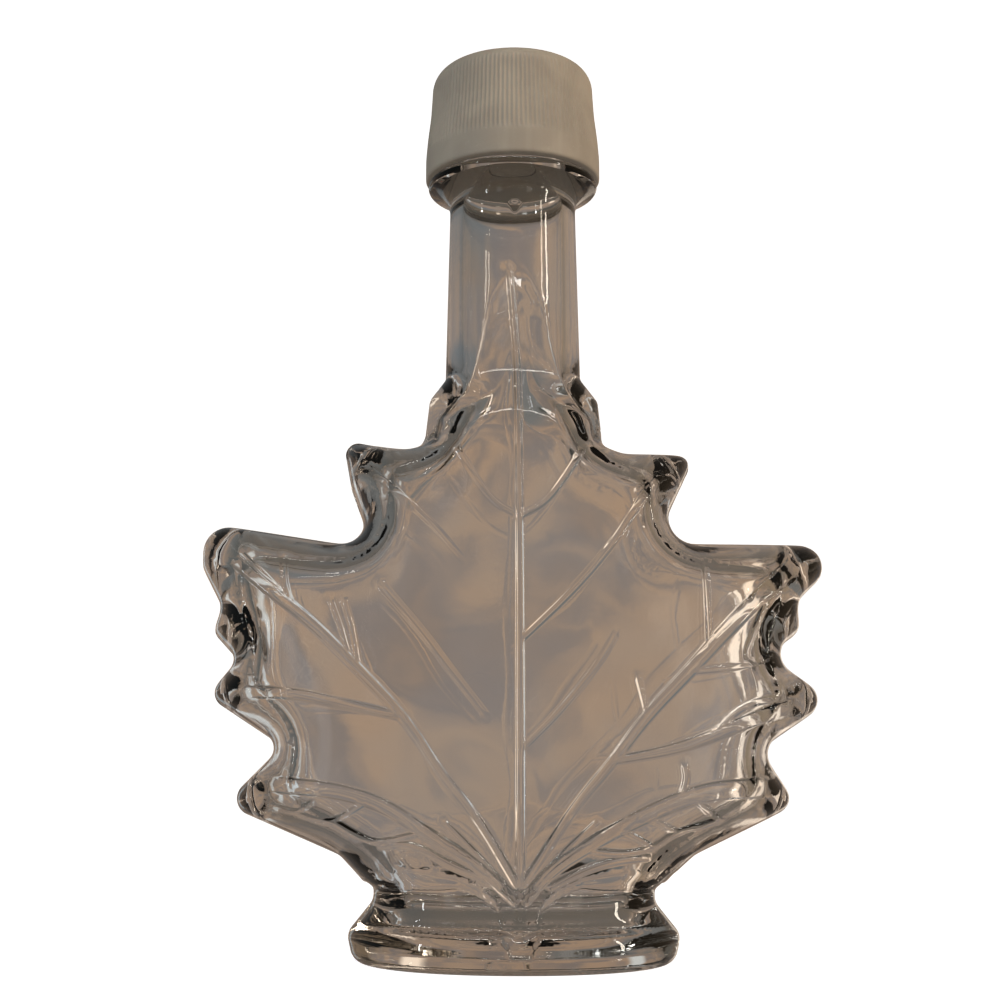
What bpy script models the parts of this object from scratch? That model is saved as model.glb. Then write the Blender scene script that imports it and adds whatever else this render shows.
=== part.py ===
"""Maple leaf bottle: a clear glass bottle in the form of a maple leaf, with a plastic screw cap.

The bottle stands on z = 0 and its front faces -Y. A mould in two halves shapes such glass, so the front is a
height over the X-Z plane, which is zero along the outline, and the back is its mirror image.
"""

import math

import bmesh
import bpy
import numpy as np
from mathutils import Vector
from mathutils.geometry import delaunay_2d_cdt

# Sizes below are in millimetres, and MM turns them into metres
MM = 0.001

# Neck and finish, which are round
NECK_RADIUS = 11.35
BORE_RADIUS = 9.0
FINISH_RADIUS = 12.6
NECK_JOIN = 124.0
BEAD = ((11.35, 132.8), (12.35, 134.0), (14.6, 135.4), (15.3, 136.1), (15.3, 136.7), (15.1, 136.9))
MOUTH_HEIGHT = 156.2
LIP_ROUND = 0.7
NECK_SIDES = 18

# Outline of the leaf, from the neck down: half-width, height, corner radius, whether the hollow follows it
RIGHT_CORNERS = (
    (12.0, 100.1, 2.0, False),
    (15.1, 96.2, 1.7, False),
    (16.1, 86.7, 3.6, True),
    (32.5, 87.0, 2.2, True),
    (24.8, 70.9, 3.7, True),
    (54.1, 71.0, 4.2, True),
    (54.1, 65.2, 3.0, False),
    (48.9, 60.3, 2.6, False),
    (49.8, 55.6, 1.8, False),
    (43.9, 51.3, 2.3, True),
    (55.4, 43.9, 3.4, True),
    (42.0, 35.3, 2.2, True),
    (48.6, 26.2, 2.8, True),
    (30.3, 17.6, 1.7, True),
)
LEFT_CORNERS = (
    (12.0, 100.1, 2.0, False),
    (14.8, 96.4, 1.7, False),
    (15.9, 86.8, 3.4, True),
    (30.1, 89.2, 2.2, True),
    (28.4, 80.1, 3.4, False),
    (24.5, 69.6, 3.4, True),
    (54.1, 74.2, 4.6, True),
    (54.1, 66.2, 3.0, False),
    (50.4, 59.1, 2.8, False),
    (52.0, 55.1, 2.1, False),
    (47.5, 50.2, 1.7, True),
    (52.8, 44.2, 2.6, True),
    (39.7, 35.7, 2.2, True),
    (49.3, 25.9, 2.9, True),
    (29.5, 17.5, 1.7, True),
)

# Foot, an oval pedestal: half-width, height and corner radius below the leaf
FOOT_CORNERS = (
    (25.6, 13.35, 1.3),
    (23.7, 12.6, 1.3),
    (23.7, 10.2, 3.0),
    (28.1, 4.8, 2.6),
    (27.0, 0.0, 2.6),
)
FOOT_DEPTHS = (
    (17.6, 0.0),
    (19.1, 0.8),
    (20.0, 2.6),
    (19.9, 4.4),
    (18.8, 6.2),
    (17.3, 7.0),
    (16.3, 10.0),
    (15.9, 14.0),
)
FOOT_ROUNDNESS = 2.1
WAIST_ROUNDNESS = 2.6
BASE_RINGS = ((0.8, 0.0), (0.7, 0.8), (0.35, 1.0))
FOOT_TOP = 14.35

# Leaf body: how thick it is, and how its rim rounds off to the mould line
FACE_DEPTH = 19.0
FACE_MIDDLE = 45.0
SIDE_FALL = 4.5
TOP_FALL = 6.9
TOP_SPAN = 73.0
TOP_CURVE = 1.6
BOTTOM_FALL = 2.0
BOTTOM_SPAN = 30.0
RIM_WIDTH = 5.5
RIM_REACH = 0.65
RIM_ROUNDNESS = 2.2
RIM_SHARE = 0.93
FACE_WIDTH = 16.0

# Lower edge of the leaf's face, which narrows to the stem on the foot: half-width and height
LOWER_EDGE = ((2.6, 7.2), (3.6, 10.3), (6.0, 12.4), (10.0, 14.1), (17.0, 14.6), (24.0, 13.5), (60.0, 13.5))
EDGE_SOFTNESS = 1.2
STEM_RISE = 0.9
STEM_TOP = 15.0
STEM_LIMIT = 45.0

# Pointed arch of the leaf on the neck: half-width and height of its foot, then of its upper edge
ARCH = ((13.5, 92.0), (9.6, 95.5), (7.6, 98.5), (5.8, 104.5), (4.4, 112.0), (0.8, 118.5))
ARCH_TOP = ((11.5, 91.0), (6.5, 93.2), (3.4, 95.6), (2.4, 98.4), (1.4, 104.0), (0.3, 114.0))
ARCH_RISE = 0.7
ARCH_SWELL_LOW = 94.0
ARCH_SWELL_HIGH = 104.0
ARCH_TIP = 6.0
ARCH_STEEPNESS = 1.5

# Crown, where the round neck comes out of the flat leaf
CROWN_START = 84.0
CROWN_LOW = 90.0
CROWN_FULL = 91.0
CROWN_HIGH = 100.2

# Main veins, as ridges from the leaf's rim to where they join
VEIN_RISE = 0.55
VEIN_HALF_WIDTH = 0.9
MIDRIB = ((0.0, 16.0), (0.0, 35.0), (0.0, 55.0), (0.0, 75.0), (0.0, 95.0), (0.0, 117.0))
RIGHT_VEINS = (
    (
        (46.4, 66.0),
        (36.2, 57.0),
        (27.8, 48.2),
        (20.3, 40.6),
        (15.0, 33.5),
        (9.3, 27.0),
        (4.6, 20.0),
        (0.0, 15.6),
    ),
    ((23.6, 80.5), (19.1, 74.5), (15.6, 69.1), (9.0, 61.2), (0.0, 52.7)),
    ((22.5, 64.7), (18.6, 58.4), (13.0, 49.5), (6.5, 41.4), (0.0, 35.1)),
    ((45.0, 42.2), (30.7, 37.3), (24.5, 35.2), (15.0, 33.5)),
    ((39.2, 29.1), (32.1, 28.9), (25.7, 27.3), (18.3, 24.0), (11.6, 20.5), (5.0, 17.0), (0.0, 15.6)),
)
LEFT_VEINS = (
    (
        (47.0, 66.0),
        (41.7, 61.5),
        (34.3, 56.0),
        (27.3, 49.2),
        (18.5, 40.3),
        (12.7, 31.3),
        (7.0, 24.7),
        (0.0, 15.6),
    ),
    ((26.1, 82.9), (22.5, 79.3), (15.3, 73.0), (8.5, 65.3), (0.0, 52.7)),
    ((22.4, 61.4), (15.9, 55.0), (11.6, 48.2), (5.1, 40.6), (0.0, 35.1)),
    ((44.4, 44.3), (36.1, 44.0), (28.7, 42.4), (18.5, 40.3)),
    ((38.9, 29.4), (29.5, 28.6), (21.8, 26.4), (14.7, 21.7), (7.8, 17.8), (0.0, 15.6)),
)

# Hollow inside the glass
SIDE_WALL = 3.4
FACE_WALL = 2.7
FLOOR_HEIGHT = 5.0
FLOOR_HALF_WIDTH = 21.5
WAIST_HALF_WIDTH = 20.2
WAIST_HEIGHT = 13.0
FLOOR_ROUND = 4.0
TOOTH_ROUND = 2.5
SHOULDER_ROUND = 8.0
SHOULDER_HEIGHT = 100.0
HOLLOW_RIM = 8.0
HOLLOW_CROWN_LOW = 84.0
HOLLOW_CROWN_HIGH = 98.0

# Screw cap
CAP_TOP = 158.1
CAP_RIM = 137.3
CAP_BORE = 13.0
CAP_CEILING = 156.6
CAP_SIDE = ((14.65, 154.4), (14.95, 149.5), (15.5, 145.0), (15.8, 141.5), (15.8, 138.0), (15.5, 137.3))
CAP_TOP_ROUND = 3.3
CAP_TOP_TURNS = (30.0, 60.0)
CAP_SIDES = 60

# Materials, and the angle above which an edge stays sharp
GLASS_COLOUR = (0.55, 0.5, 0.45)
GLASS_ROUGHNESS = 0.05
PLASTIC_COLOUR = (0.42, 0.36, 0.3)
PLASTIC_ROUGHNESS = 0.45
SHARP_ANGLE = 40.0

# Spacing of the mesh's points
OUTLINE_STEP = 5.0
ARC_STEP = 32.0
ROW_INSETS = (1.0, 3.0, 5.5)
HOLLOW_INSETS = (1.6, 4.2, 8.0)
VEIN_STEP = 5.0
FILL_STEP = 8.0
FILL_HALF_WIDTH = 56.0
FILL_BOTTOM = 16.0
FILL_TOP = 100.0
CROWN_FILL_HALF_WIDTH = 14.4
CROWN_FILL_BOTTOM = 89.5
CROWN_FILL_TOP = 119.0
CROWN_FILL_STEP = 2.4
HOLLOW_FILL_HALF_WIDTH = 48.0
HOLLOW_FILL_BOTTOM = 14.0
NECK_ROWS = (104.0, 109.0, 114.0, 119.0)
BORE_ROWS = (100.0, 106.0, 115.0)
ROW_SHARE = 0.97
SAME_POINT = 1e-3

# How near the points of each kind may come to those already kept
COLUMN_GAP = 0.1
EDGE_GAP = 0.12
SHOULDER_GAP = 0.7
ROW_GAP = 0.9
PANEL_EDGE_GAP = 1.0
ARCH_GAP = 1.2
HOLLOW_ROW_GAP = 1.4
CROWN_FILL_GAP = 1.5
FILL_GAP = 4.0
HOLLOW_FILL_GAP = 5.0


def clear_scene():
    """Removes every object, so that the script can be run again."""
    for old in list(bpy.data.objects):
        bpy.data.objects.remove(old, do_unlink=True)


def make_material(name, colour, roughness, metallic=0.0):
    """A Principled BSDF with a plain colour."""
    material = bpy.data.materials.new(name)
    material.use_nodes = True
    shader = material.node_tree.nodes["Principled BSDF"]
    shader.inputs["Base Color"].default_value = (*colour, 1.0)
    shader.inputs["Roughness"].default_value = roughness
    shader.inputs["Metallic"].default_value = metallic
    return material


def smooth_step(value, low, high):
    """0 below low, 1 above high, and a smooth rise between them."""
    share = np.clip((value - low) / (high - low), 0.0, 1.0)
    return share * share * (3.0 - 2.0 * share)


def rounded(corners, step=OUTLINE_STEP):
    """Points along a chain of corners, each (x, z, radius), with an arc where the radius isn't 0."""
    places = [np.array(corner[:2], float) for corner in corners]
    points = [places[0]]
    for before, corner, after, radius in zip(places, places[1:], places[2:], [c[2] for c in corners[1:]]):
        back = (before - corner) / np.linalg.norm(before - corner)
        ahead = (after - corner) / np.linalg.norm(after - corner)
        half = math.acos(np.clip(back @ ahead, -1.0, 1.0)) / 2
        reach = radius / math.tan(half)
        middle = corner + (back + ahead) / np.linalg.norm(back + ahead) * radius / math.sin(half)
        start = corner + back * reach - middle
        turn = math.pi - 2 * half
        side = np.sign(back[0] * ahead[1] - back[1] * ahead[0])
        count = max(1, math.ceil(math.degrees(turn) / ARC_STEP))
        for number in range(count + 1):
            angle = -side * turn * number / count
            spun = (
                start[0] * math.cos(angle) - start[1] * math.sin(angle),
                start[0] * math.sin(angle) + start[1] * math.cos(angle),
            )
            points.append(middle + spun)
    points.append(places[-1])
    return divided(np.array(points), step)


def divided(points, step):
    """The same line with points no further apart than step."""
    line = [points[0]]
    for start, end in zip(points, points[1:]):
        length = np.linalg.norm(end - start)
        if length < SAME_POINT:
            continue
        count = max(1, math.ceil(length / step))
        line += [start + (end - start) * number / count for number in range(1, count + 1)]
    return np.array(line)


def inset_corners(corners, wall):
    """Moves a chain of corners to its inner side by the wall, and rounds it as blown glass is."""
    places = [np.array(corner[:2], float) for corner in corners]
    moved = []
    for before, corner, after, radius in zip(places, places[1:], places[2:], [c[2] for c in corners[1:]]):
        first = (corner - before) / np.linalg.norm(corner - before)
        second = (after - corner) / np.linalg.norm(after - corner)
        normals = [np.array((d[1], -d[0])) * -1 for d in (first, second)]
        across = (normals[0] + normals[1]) / (1 + normals[0] @ normals[1])
        notch = first[0] * second[1] - first[1] * second[0] > 0
        place = corner - across * wall
        moved.append((place[0], place[1], radius + wall if notch else TOOTH_ROUND))
    return moved


def outer_side(corners):
    """One side of the bottle's outline, from the neck down to the base."""
    chain = [(NECK_RADIUS, NECK_JOIN, 0.0), *(c[:3] for c in corners), *FOOT_CORNERS, (0.0, 0.0, 0.0)]
    return rounded(chain)[:-1]


def hollow_side(corners):
    """One side of the hollow's outline, from the bore down to the middle of the floor."""
    kept = [c for c in corners if c[3]]
    leaf = inset_corners([corners[0], *kept, FOOT_CORNERS[1]], SIDE_WALL)
    chain = [(BORE_RADIUS, NECK_JOIN, 0.0), (BORE_RADIUS, SHOULDER_HEIGHT, SHOULDER_ROUND), *leaf]
    chain += [(WAIST_HALF_WIDTH, WAIST_HEIGHT, FLOOR_ROUND), (FLOOR_HALF_WIDTH, FLOOR_HEIGHT, FLOOR_ROUND)]
    return rounded([*chain, (0.0, FLOOR_HEIGHT, 0.0)])


def at_base(line):
    """The part of an outer side above the base, down to its first point on the base."""
    return line[: int(np.argmax(line[:, 1] < SAME_POINT)) + 1]


def distance_to(lines, points):
    """The distance of each point from the nearest of the lines."""
    nearest = np.full(len(points), np.inf)
    for line in lines:
        for start, end in zip(line, line[1:]):
            along = end - start
            share = np.clip(((points - start) @ along) / (along @ along), 0.0, 1.0)
            nearest = np.minimum(nearest, np.linalg.norm(points - start - share[:, None] * along, axis=1))
    return nearest


def half_width(lines, points, low, high):
    """The outline's half-width at each point's height, between two heights where it doesn't turn back."""
    widths = np.empty(len(points))
    for side, line in zip((1, -1), lines):
        piece = line[(line[:, 1] >= low - SAME_POINT) & (line[:, 1] <= high + SAME_POINT)][::-1]
        here = points[:, 0] * side >= 0
        widths[here] = np.interp(points[here, 1], piece[:, 1], np.abs(piece[:, 0]))
    return widths


def oval(across, width, depth, roundness):
    """How far an oval of this half-width and half-depth reaches at a distance across it."""
    share = np.clip(np.abs(across) / width, 0.0, 1.0)
    return depth * (1.0 - share**roundness) ** (1.0 / roundness)


def table(rows, heights):
    """A value read from rows of (value, height)."""
    values, places = zip(*sorted(rows, key=lambda row: row[1]))
    return np.interp(heights, places, values)


def face_depth(points):
    """How far the leaf's face stands from the mould line, away from its rim."""
    x, z = np.abs(points[:, 0]), points[:, 1]
    widest = max(corner[0] for corner in RIGHT_CORNERS)
    above = np.clip(z - FACE_MIDDLE, 0.0, None) / TOP_SPAN
    below = np.clip(FACE_MIDDLE - z, 0.0, None) / BOTTOM_SPAN
    return FACE_DEPTH - SIDE_FALL * (x / widest) ** 2 - TOP_FALL * above**TOP_CURVE - BOTTOM_FALL * below**2


def rim_share(inset, width, reach):
    """The rim's rounding, from 0 on the mould line to 1 at its inner edge."""
    share = np.clip(inset / width, 0.0, 1.0)
    top = (1.0 - (1.0 - reach) ** RIM_ROUNDNESS) ** (1.0 / RIM_ROUNDNESS)
    return (1.0 - (1.0 - reach * share) ** RIM_ROUNDNESS) ** (1.0 / RIM_ROUNDNESS) / top


def vein_lines():
    """The midrib and every side vein, each as points on the face."""
    right = [np.array(vein) for vein in RIGHT_VEINS]
    left = [np.array(vein) * (-1, 1) for vein in LEFT_VEINS]
    return [np.array(MIDRIB), *right, *left]


def outer_height(points, lines, veins):
    """How far the glass stands from the mould line at each point of the X-Z plane."""
    x, z = points[:, 0], points[:, 1]
    inset = distance_to(lines, points)
    rise = 1.0 - (1.0 - np.clip((inset - RIM_WIDTH) / (FACE_WIDTH - RIM_WIDTH), 0.0, 1.0)) ** 2
    share = RIM_SHARE * rim_share(inset, RIM_WIDTH, RIM_REACH) + (1.0 - RIM_SHARE) * rise
    leaf = face_depth(points) * share
    foot_width = half_width(lines, points, 0.0, FOOT_TOP)
    roundness = np.interp(z, (FOOT_DEPTHS[3][1], WAIST_HEIGHT), (FOOT_ROUNDNESS, WAIST_ROUNDNESS))
    foot = oval(x, foot_width, table(FOOT_DEPTHS, z), roundness)
    stem = foot + STEM_RISE * (1.0 - smooth_step(z, LOWER_EDGE[2][1], STEM_TOP))
    by_stem = (np.abs(x) < LOWER_EDGE[2][0]) & (z < STEM_LIMIT)
    panel = np.where(by_stem, np.maximum(leaf, stem), leaf)
    edge = np.interp(np.abs(x), *zip(*LOWER_EDGE))
    edge = np.where(np.abs(x) > LOWER_EDGE[0][0], edge, LOWER_EDGE[0][1])
    height = foot + (panel - foot) * smooth_step(z, edge - EDGE_SOFTNESS, edge + EDGE_SOFTNESS)
    neck_width = half_width(lines, points, CROWN_LOW, NECK_JOIN)
    neck_depth = half_width(lines, points, CROWN_HIGH, NECK_JOIN)
    crown = oval(x, neck_width, neck_depth, 2.0) * smooth_step(z, CROWN_START, CROWN_FULL)
    top = ARCH[-1][1]
    foot_width, top_width = table(ARCH, z), table(ARCH_TOP, z)
    arch = np.clip((foot_width - np.abs(x)) / (foot_width - top_width), 0.0, 1.0)
    arch *= (ARCH_STEEPNESS - (ARCH_STEEPNESS - 1.0) * arch) * smooth_step(top - z, 0.0, ARCH_TIP)
    hidden = (1.0 - arch) * smooth_step(z, CROWN_START, CROWN_FULL)
    raised = np.maximum(crown, height + ARCH_RISE * smooth_step(z, ARCH_SWELL_LOW, ARCH_SWELL_HIGH))
    height = crown + (raised - crown) * (1.0 - hidden)
    ridge = np.clip(1.0 - distance_to(veins, points) / VEIN_HALF_WIDTH, 0.0, 1.0)
    ridge *= np.clip(inset / RIM_WIDTH, 0.0, 1.0)
    height += VEIN_RISE * ridge * smooth_step(top - z, 0.0, RIM_WIDTH)
    return np.where(inset < SAME_POINT, 0.0, height)


def hollow_height(points, lines):
    """How far the hollow reaches from the mould line at each point of the X-Z plane."""
    x, z = points[:, 0], points[:, 1]
    inset = distance_to(lines, points)
    limits = (*FOOT_DEPTHS, (FACE_DEPTH, WAIST_HEIGHT + SHOULDER_ROUND))
    depth = np.minimum(face_depth(points), table(limits, z))
    leaf = (depth - FACE_WALL) * rim_share(inset, HOLLOW_RIM, 1.0)
    waist = np.minimum(leaf, oval(x, WAIST_HALF_WIDTH, depth - FACE_WALL, FOOT_ROUNDNESS))
    leaf = waist + (leaf - waist) * smooth_step(z, WAIST_HEIGHT, WAIST_HEIGHT + SHOULDER_ROUND)
    width = half_width(lines, points, HOLLOW_CROWN_LOW, NECK_JOIN)
    bore = oval(x, width, width, 2.0)
    height = leaf + (bore - leaf) * smooth_step(z, HOLLOW_CROWN_LOW, HOLLOW_CROWN_HIGH)
    return np.where(inset < SAME_POINT, 0.0, height)


def neck_columns(radius):
    """Where the flat sides of a round neck meet, across its front."""
    angles = np.linspace(0.0, math.pi, NECK_SIDES + 1)
    return radius * np.cos(angles)


def columns_across(lines, heights):
    """Points across the neck or the foot at each height, spaced evenly round its oval."""
    spots = np.array([(cosine, height) for height in heights for cosine in neck_columns(1.0)[1:-1]])
    widths = half_width(lines, spots, CROWN_LOW, NECK_JOIN)
    low = spots[:, 1] < CROWN_LOW
    widths[low] = half_width(lines, spots[low], 0.0, FOOT_TOP)
    return spots * np.stack([widths, np.ones(len(spots))], axis=1)


def inset_rows(line, insets, lines):
    """Points along rows inside an outline, leaving out those that come nearer to another stretch of it."""
    along = line[2:] - line[:-2]
    normals = np.stack([along[:, 1], -along[:, 0]], axis=1) / np.linalg.norm(along, axis=1)[:, None]
    rows = []
    for inset in insets:
        moved = line[1:-1] + normals * inset
        rows.append(moved[distance_to(lines, moved) > inset * ROW_SHARE])
    return np.concatenate(rows)


def thinned(candidates, kept, gap):
    """The candidates that stay a gap clear of each other and of the points already kept."""
    chosen = list(kept)
    start = len(chosen)
    for point in candidates:
        if np.min(np.linalg.norm(np.array(chosen) - point, axis=1)) > gap:
            chosen.append(point)
    return np.array(chosen[start:]).reshape(-1, 2)


def lattice(half, bottom, top, step):
    """A square lattice of points, as wide on both sides, between two heights."""
    columns = np.arange(-half, half + step / 2, step)
    return np.array([(x, z) for z in np.arange(bottom, top, step) for x in columns])


def inside(loop, points):
    """Whether each point lies inside a closed loop."""
    crossed = np.zeros(len(points), bool)
    for start, end in zip(loop, np.roll(loop, -1, axis=0)):
        spans = (start[1] > points[:, 1]) != (end[1] > points[:, 1])
        rise = end[1] - start[1] if end[1] != start[1] else 1.0
        share = (points[:, 1] - start[1]) / rise
        crossed ^= spans & (points[:, 0] < start[0] + share * (end[0] - start[0]))
    return crossed


def triangles(loop, ridges, extra):
    """Points and triangles that fill a loop, with edges along the ridges."""
    points = [*loop]
    edges = [(number, (number + 1) % len(loop)) for number in range(len(loop))]
    for ridge in ridges:
        first = len(points)
        points += [*ridge]
        edges += [(first + number, first + number + 1) for number in range(len(ridge) - 1)]
    points += [*extra]
    found = delaunay_2d_cdt([Vector(p) for p in points], edges, [], 1, 1e-4)
    return np.array([tuple(p) for p in found[0]]), found[2]


def outer_skin(lines, veins):
    """Points and triangles of the front's outer skin in the X-Z plane."""
    right, left = lines
    top = np.stack([neck_columns(NECK_RADIUS), np.full(NECK_SIDES + 1, NECK_JOIN)], axis=1)
    base = columns_across(lines, (0.0,))
    loop = np.concatenate([left[::-1][:-1], top[::-1][:-1], right, base])[::-1]
    rows = [inset_rows(line, ROW_INSETS, lines) for line in (right, left[::-1])]
    ridges = [divided(vein, VEIN_STEP) for vein in veins]
    shoulders = []
    for ridge in ridges:
        along = np.gradient(ridge, axis=0)
        normal = np.stack([along[:, 1], -along[:, 0]], axis=1) / np.linalg.norm(along, axis=1)[:, None]
        shoulders += [ridge + normal * VEIN_HALF_WIDTH, ridge - normal * VEIN_HALF_WIDTH]
    neck = columns_across(lines, NECK_ROWS)
    bands = columns_across(lines, [row[1] for row in FOOT_DEPTHS[1:-1]])
    shifts = (-EDGE_SOFTNESS, EDGE_SOFTNESS)
    beside = [(side * x, z) for x, z in LOWER_EDGE[:-2] for side in (-1, 1)]
    edge = np.array([(x, z + shift) for x, z in beside for shift in shifts])
    arch = np.array([(side * x, z) for x, z in (*ARCH, *ARCH_TOP) for side in (-1, 1)])
    fill = lattice(FILL_HALF_WIDTH, FILL_BOTTOM, FILL_TOP, FILL_STEP)
    crown = lattice(CROWN_FILL_HALF_WIDTH, CROWN_FILL_BOTTOM, CROWN_FILL_TOP, CROWN_FILL_STEP)
    kept = np.concatenate([loop, *ridges])
    extra = np.empty((0, 2))
    rows = np.concatenate(rows)
    rows = rows[(rows[:, 1] < CROWN_HIGH) & (rows[:, 1] > WAIST_HEIGHT)]
    groups = (
        (neck, COLUMN_GAP),
        (bands, COLUMN_GAP),
        (np.concatenate(shoulders), SHOULDER_GAP),
        (rows, ROW_GAP),
        (edge, PANEL_EDGE_GAP),
        (arch, ARCH_GAP),
        (crown, CROWN_FILL_GAP),
        (fill, FILL_GAP),
    )
    for candidates, gap in groups:
        extra = np.concatenate([extra, thinned(candidates, np.concatenate([kept, extra]), gap)])
    closed = np.append(loop, loop[:1], axis=0)
    extra = extra[inside(loop, extra) & (distance_to([closed], extra) > EDGE_GAP)]
    return triangles(loop, ridges, extra)


def hollow_skin(lines):
    """Points and triangles of the front half of the hollow in the X-Z plane."""
    right, left = lines
    top = np.stack([neck_columns(BORE_RADIUS), np.full(NECK_SIDES + 1, NECK_JOIN)], axis=1)
    loop = np.concatenate([left[::-1][:-1], top[::-1][:-1], right[:-1]])[::-1]
    rows = [inset_rows(line, HOLLOW_INSETS, lines) for line in (right, left[::-1])]
    neck = np.array([(x, z) for z in BORE_ROWS for x in neck_columns(BORE_RADIUS)[1:-1]])
    fill = lattice(HOLLOW_FILL_HALF_WIDTH, HOLLOW_FILL_BOTTOM, FILL_TOP, FILL_STEP)
    rows = [row[row[:, 1] < BORE_ROWS[0] - HOLLOW_ROW_GAP] for row in rows]
    extra = thinned(neck, loop, EDGE_GAP)
    for candidates, gap in ((np.concatenate(rows), HOLLOW_ROW_GAP), (fill, HOLLOW_FILL_GAP)):
        extra = np.concatenate([extra, thinned(candidates, np.concatenate([loop, extra]), gap)])
    closed = np.append(loop, loop[:1], axis=0)
    extra = extra[inside(loop, extra) & (distance_to([closed], extra) > EDGE_GAP)]
    return triangles(loop, [], extra)


def add_skin(mesh, points, heights, faces, outward):
    """Adds a skin to the mesh in front of the mould line, and returns its corners."""
    corners = [mesh.verts.new((x, -height, z)) for (x, z), height in zip(points, heights)]
    for face in faces:
        mesh.faces.new([corners[number] for number in (face if outward else face[::-1])])
    return corners


def add_base(mesh, corners):
    """Closes the bottom with a flat ring to stand on and a shallow recess."""
    lowest = [corner for corner in corners if abs(corner.co.z) < SAME_POINT]
    outer = sorted(lowest, key=lambda corner: corner.co.x)
    ring = outer
    for scale, height in BASE_RINGS:
        inner = [mesh.verts.new((corner.co.x * scale, corner.co.y * scale, height)) for corner in outer]
        for number in range(len(ring) - 1):
            mesh.faces.new((ring[number], inner[number], inner[number + 1], ring[number + 1]))
        ring = inner
    middle = mesh.verts.new((0.0, 0.0, BASE_RINGS[-1][1]))
    for number in range(len(ring) - 1):
        mesh.faces.new((ring[number], middle, ring[number + 1]))


def add_finish(mesh):
    """Turns the top of the neck, the bead below the cap, the lip and the bore's upper end."""
    profile = (
        (NECK_RADIUS, NECK_JOIN),
        *BEAD,
        (FINISH_RADIUS, BEAD[-1][1]),
        (FINISH_RADIUS, MOUTH_HEIGHT - LIP_ROUND),
        (FINISH_RADIUS - LIP_ROUND, MOUTH_HEIGHT),
        (BORE_RADIUS + LIP_ROUND, MOUTH_HEIGHT),
        (BORE_RADIUS, MOUTH_HEIGHT - LIP_ROUND),
        (BORE_RADIUS, NECK_JOIN),
    )
    corners = [mesh.verts.new((radius, 0.0, height)) for radius, height in profile]
    edges = [mesh.edges.new(pair) for pair in zip(corners, corners[1:])]
    bmesh.ops.spin(
        mesh,
        geom=corners + edges,
        cent=(0.0, 0.0, 0.0),
        axis=(0.0, 0.0, -1.0),
        angle=math.pi,
        steps=NECK_SIDES,
        use_duplicate=False,
    )


def make_bottle(collection, material):
    """The glass: half of it built, and the other half mirrored."""
    sides = [at_base(outer_side(corners)) for corners in (RIGHT_CORNERS, LEFT_CORNERS)]
    outer_lines = [sides[0], sides[1] * (-1, 1)]
    hollow = [hollow_side(corners) for corners in (RIGHT_CORNERS, LEFT_CORNERS)]
    hollow_lines = [hollow[0], hollow[1] * (-1, 1)]
    veins = vein_lines()
    mesh = bmesh.new()
    points, faces = outer_skin(outer_lines, veins)
    skin = add_skin(mesh, points, outer_height(points, outer_lines, veins), faces, True)
    add_base(mesh, skin)
    points, faces = hollow_skin(hollow_lines)
    add_skin(mesh, points, hollow_height(points, hollow_lines), faces, False)
    add_finish(mesh)
    bmesh.ops.remove_doubles(mesh, verts=mesh.verts, dist=SAME_POINT * 2)
    bmesh.ops.scale(mesh, vec=(MM, MM, MM), verts=mesh.verts)
    for corner in mesh.verts:
        if abs(corner.co.y) < SAME_POINT * MM:
            corner.co.y = 0.0
    bmesh.ops.recalc_face_normals(mesh, faces=mesh.faces)
    data = bpy.data.meshes.new("glass_bottle")
    mesh.to_mesh(data)
    mesh.free()
    bottle = bpy.data.objects.new("glass_bottle", data)
    collection.objects.link(bottle)
    mirror = bottle.modifiers.new("back half", "MIRROR")
    mirror.use_axis = (False, True, False)
    mirror.merge_threshold = SAME_POINT * MM
    bottle.data.materials.append(material)
    return bottle


def cap_profile():
    """The cap's section, from the middle of its top down the outside and up the bore."""
    side_radius, side_top = CAP_SIDE[0]
    reach = side_radius - CAP_TOP_ROUND
    points = [(0.0, CAP_TOP), (reach, CAP_TOP)]
    for degrees in CAP_TOP_TURNS:
        turn = math.radians(degrees)
        rise = CAP_TOP - side_top
        points.append((reach + CAP_TOP_ROUND * math.sin(turn), side_top + rise * math.cos(turn)))
    points += CAP_SIDE
    points += [(CAP_BORE, CAP_RIM), (CAP_BORE, CAP_CEILING), (0.0, CAP_CEILING)]
    return points


def make_cap(collection, material):
    """The screw cap, turned about the bottle's axis."""
    points = cap_profile()
    data = bpy.data.meshes.new("screw_cap")
    corners = [Vector((radius, 0.0, height)) * MM for radius, height in points]
    data.from_pydata(corners, [(number, number + 1) for number in range(len(points) - 1)], [])
    cap = bpy.data.objects.new("screw_cap", data)
    collection.objects.link(cap)
    turned = cap.modifiers.new("turned", "SCREW")
    turned.steps = CAP_SIDES
    turned.render_steps = CAP_SIDES
    turned.use_merge_vertices = True
    turned.merge_threshold = SAME_POINT * MM
    turned.use_smooth_shade = True
    data.materials.append(material)
    return cap


def soften(thing, degrees):
    """Smooth shading with sharp edges where faces meet at more than an angle."""
    thing.data.shade_smooth()
    thing.data.set_sharp_from_angle(angle=math.radians(degrees))


def main():
    clear_scene()
    collection = bpy.data.collections.new("maple_leaf_bottle")
    bpy.context.scene.collection.children.link(collection)
    glass = make_material("glass", GLASS_COLOUR, GLASS_ROUGHNESS)
    plastic = make_material("cap_plastic", PLASTIC_COLOUR, PLASTIC_ROUGHNESS)
    soften(make_bottle(collection, glass), SHARP_ANGLE)
    make_cap(collection, plastic)


main()
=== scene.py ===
"""Looks of the maple leaf bottle: smoky clear glass in the form of a maple leaf, and a ribbed plastic cap.

The front of the glass is a height over the X-Z plane, which is zero along the mould line, and the back is the
same height turned round. The hollow inside is a second pair of such heights. Sizes are in millimetres until a
mesh is made.
"""

from __future__ import annotations

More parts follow.
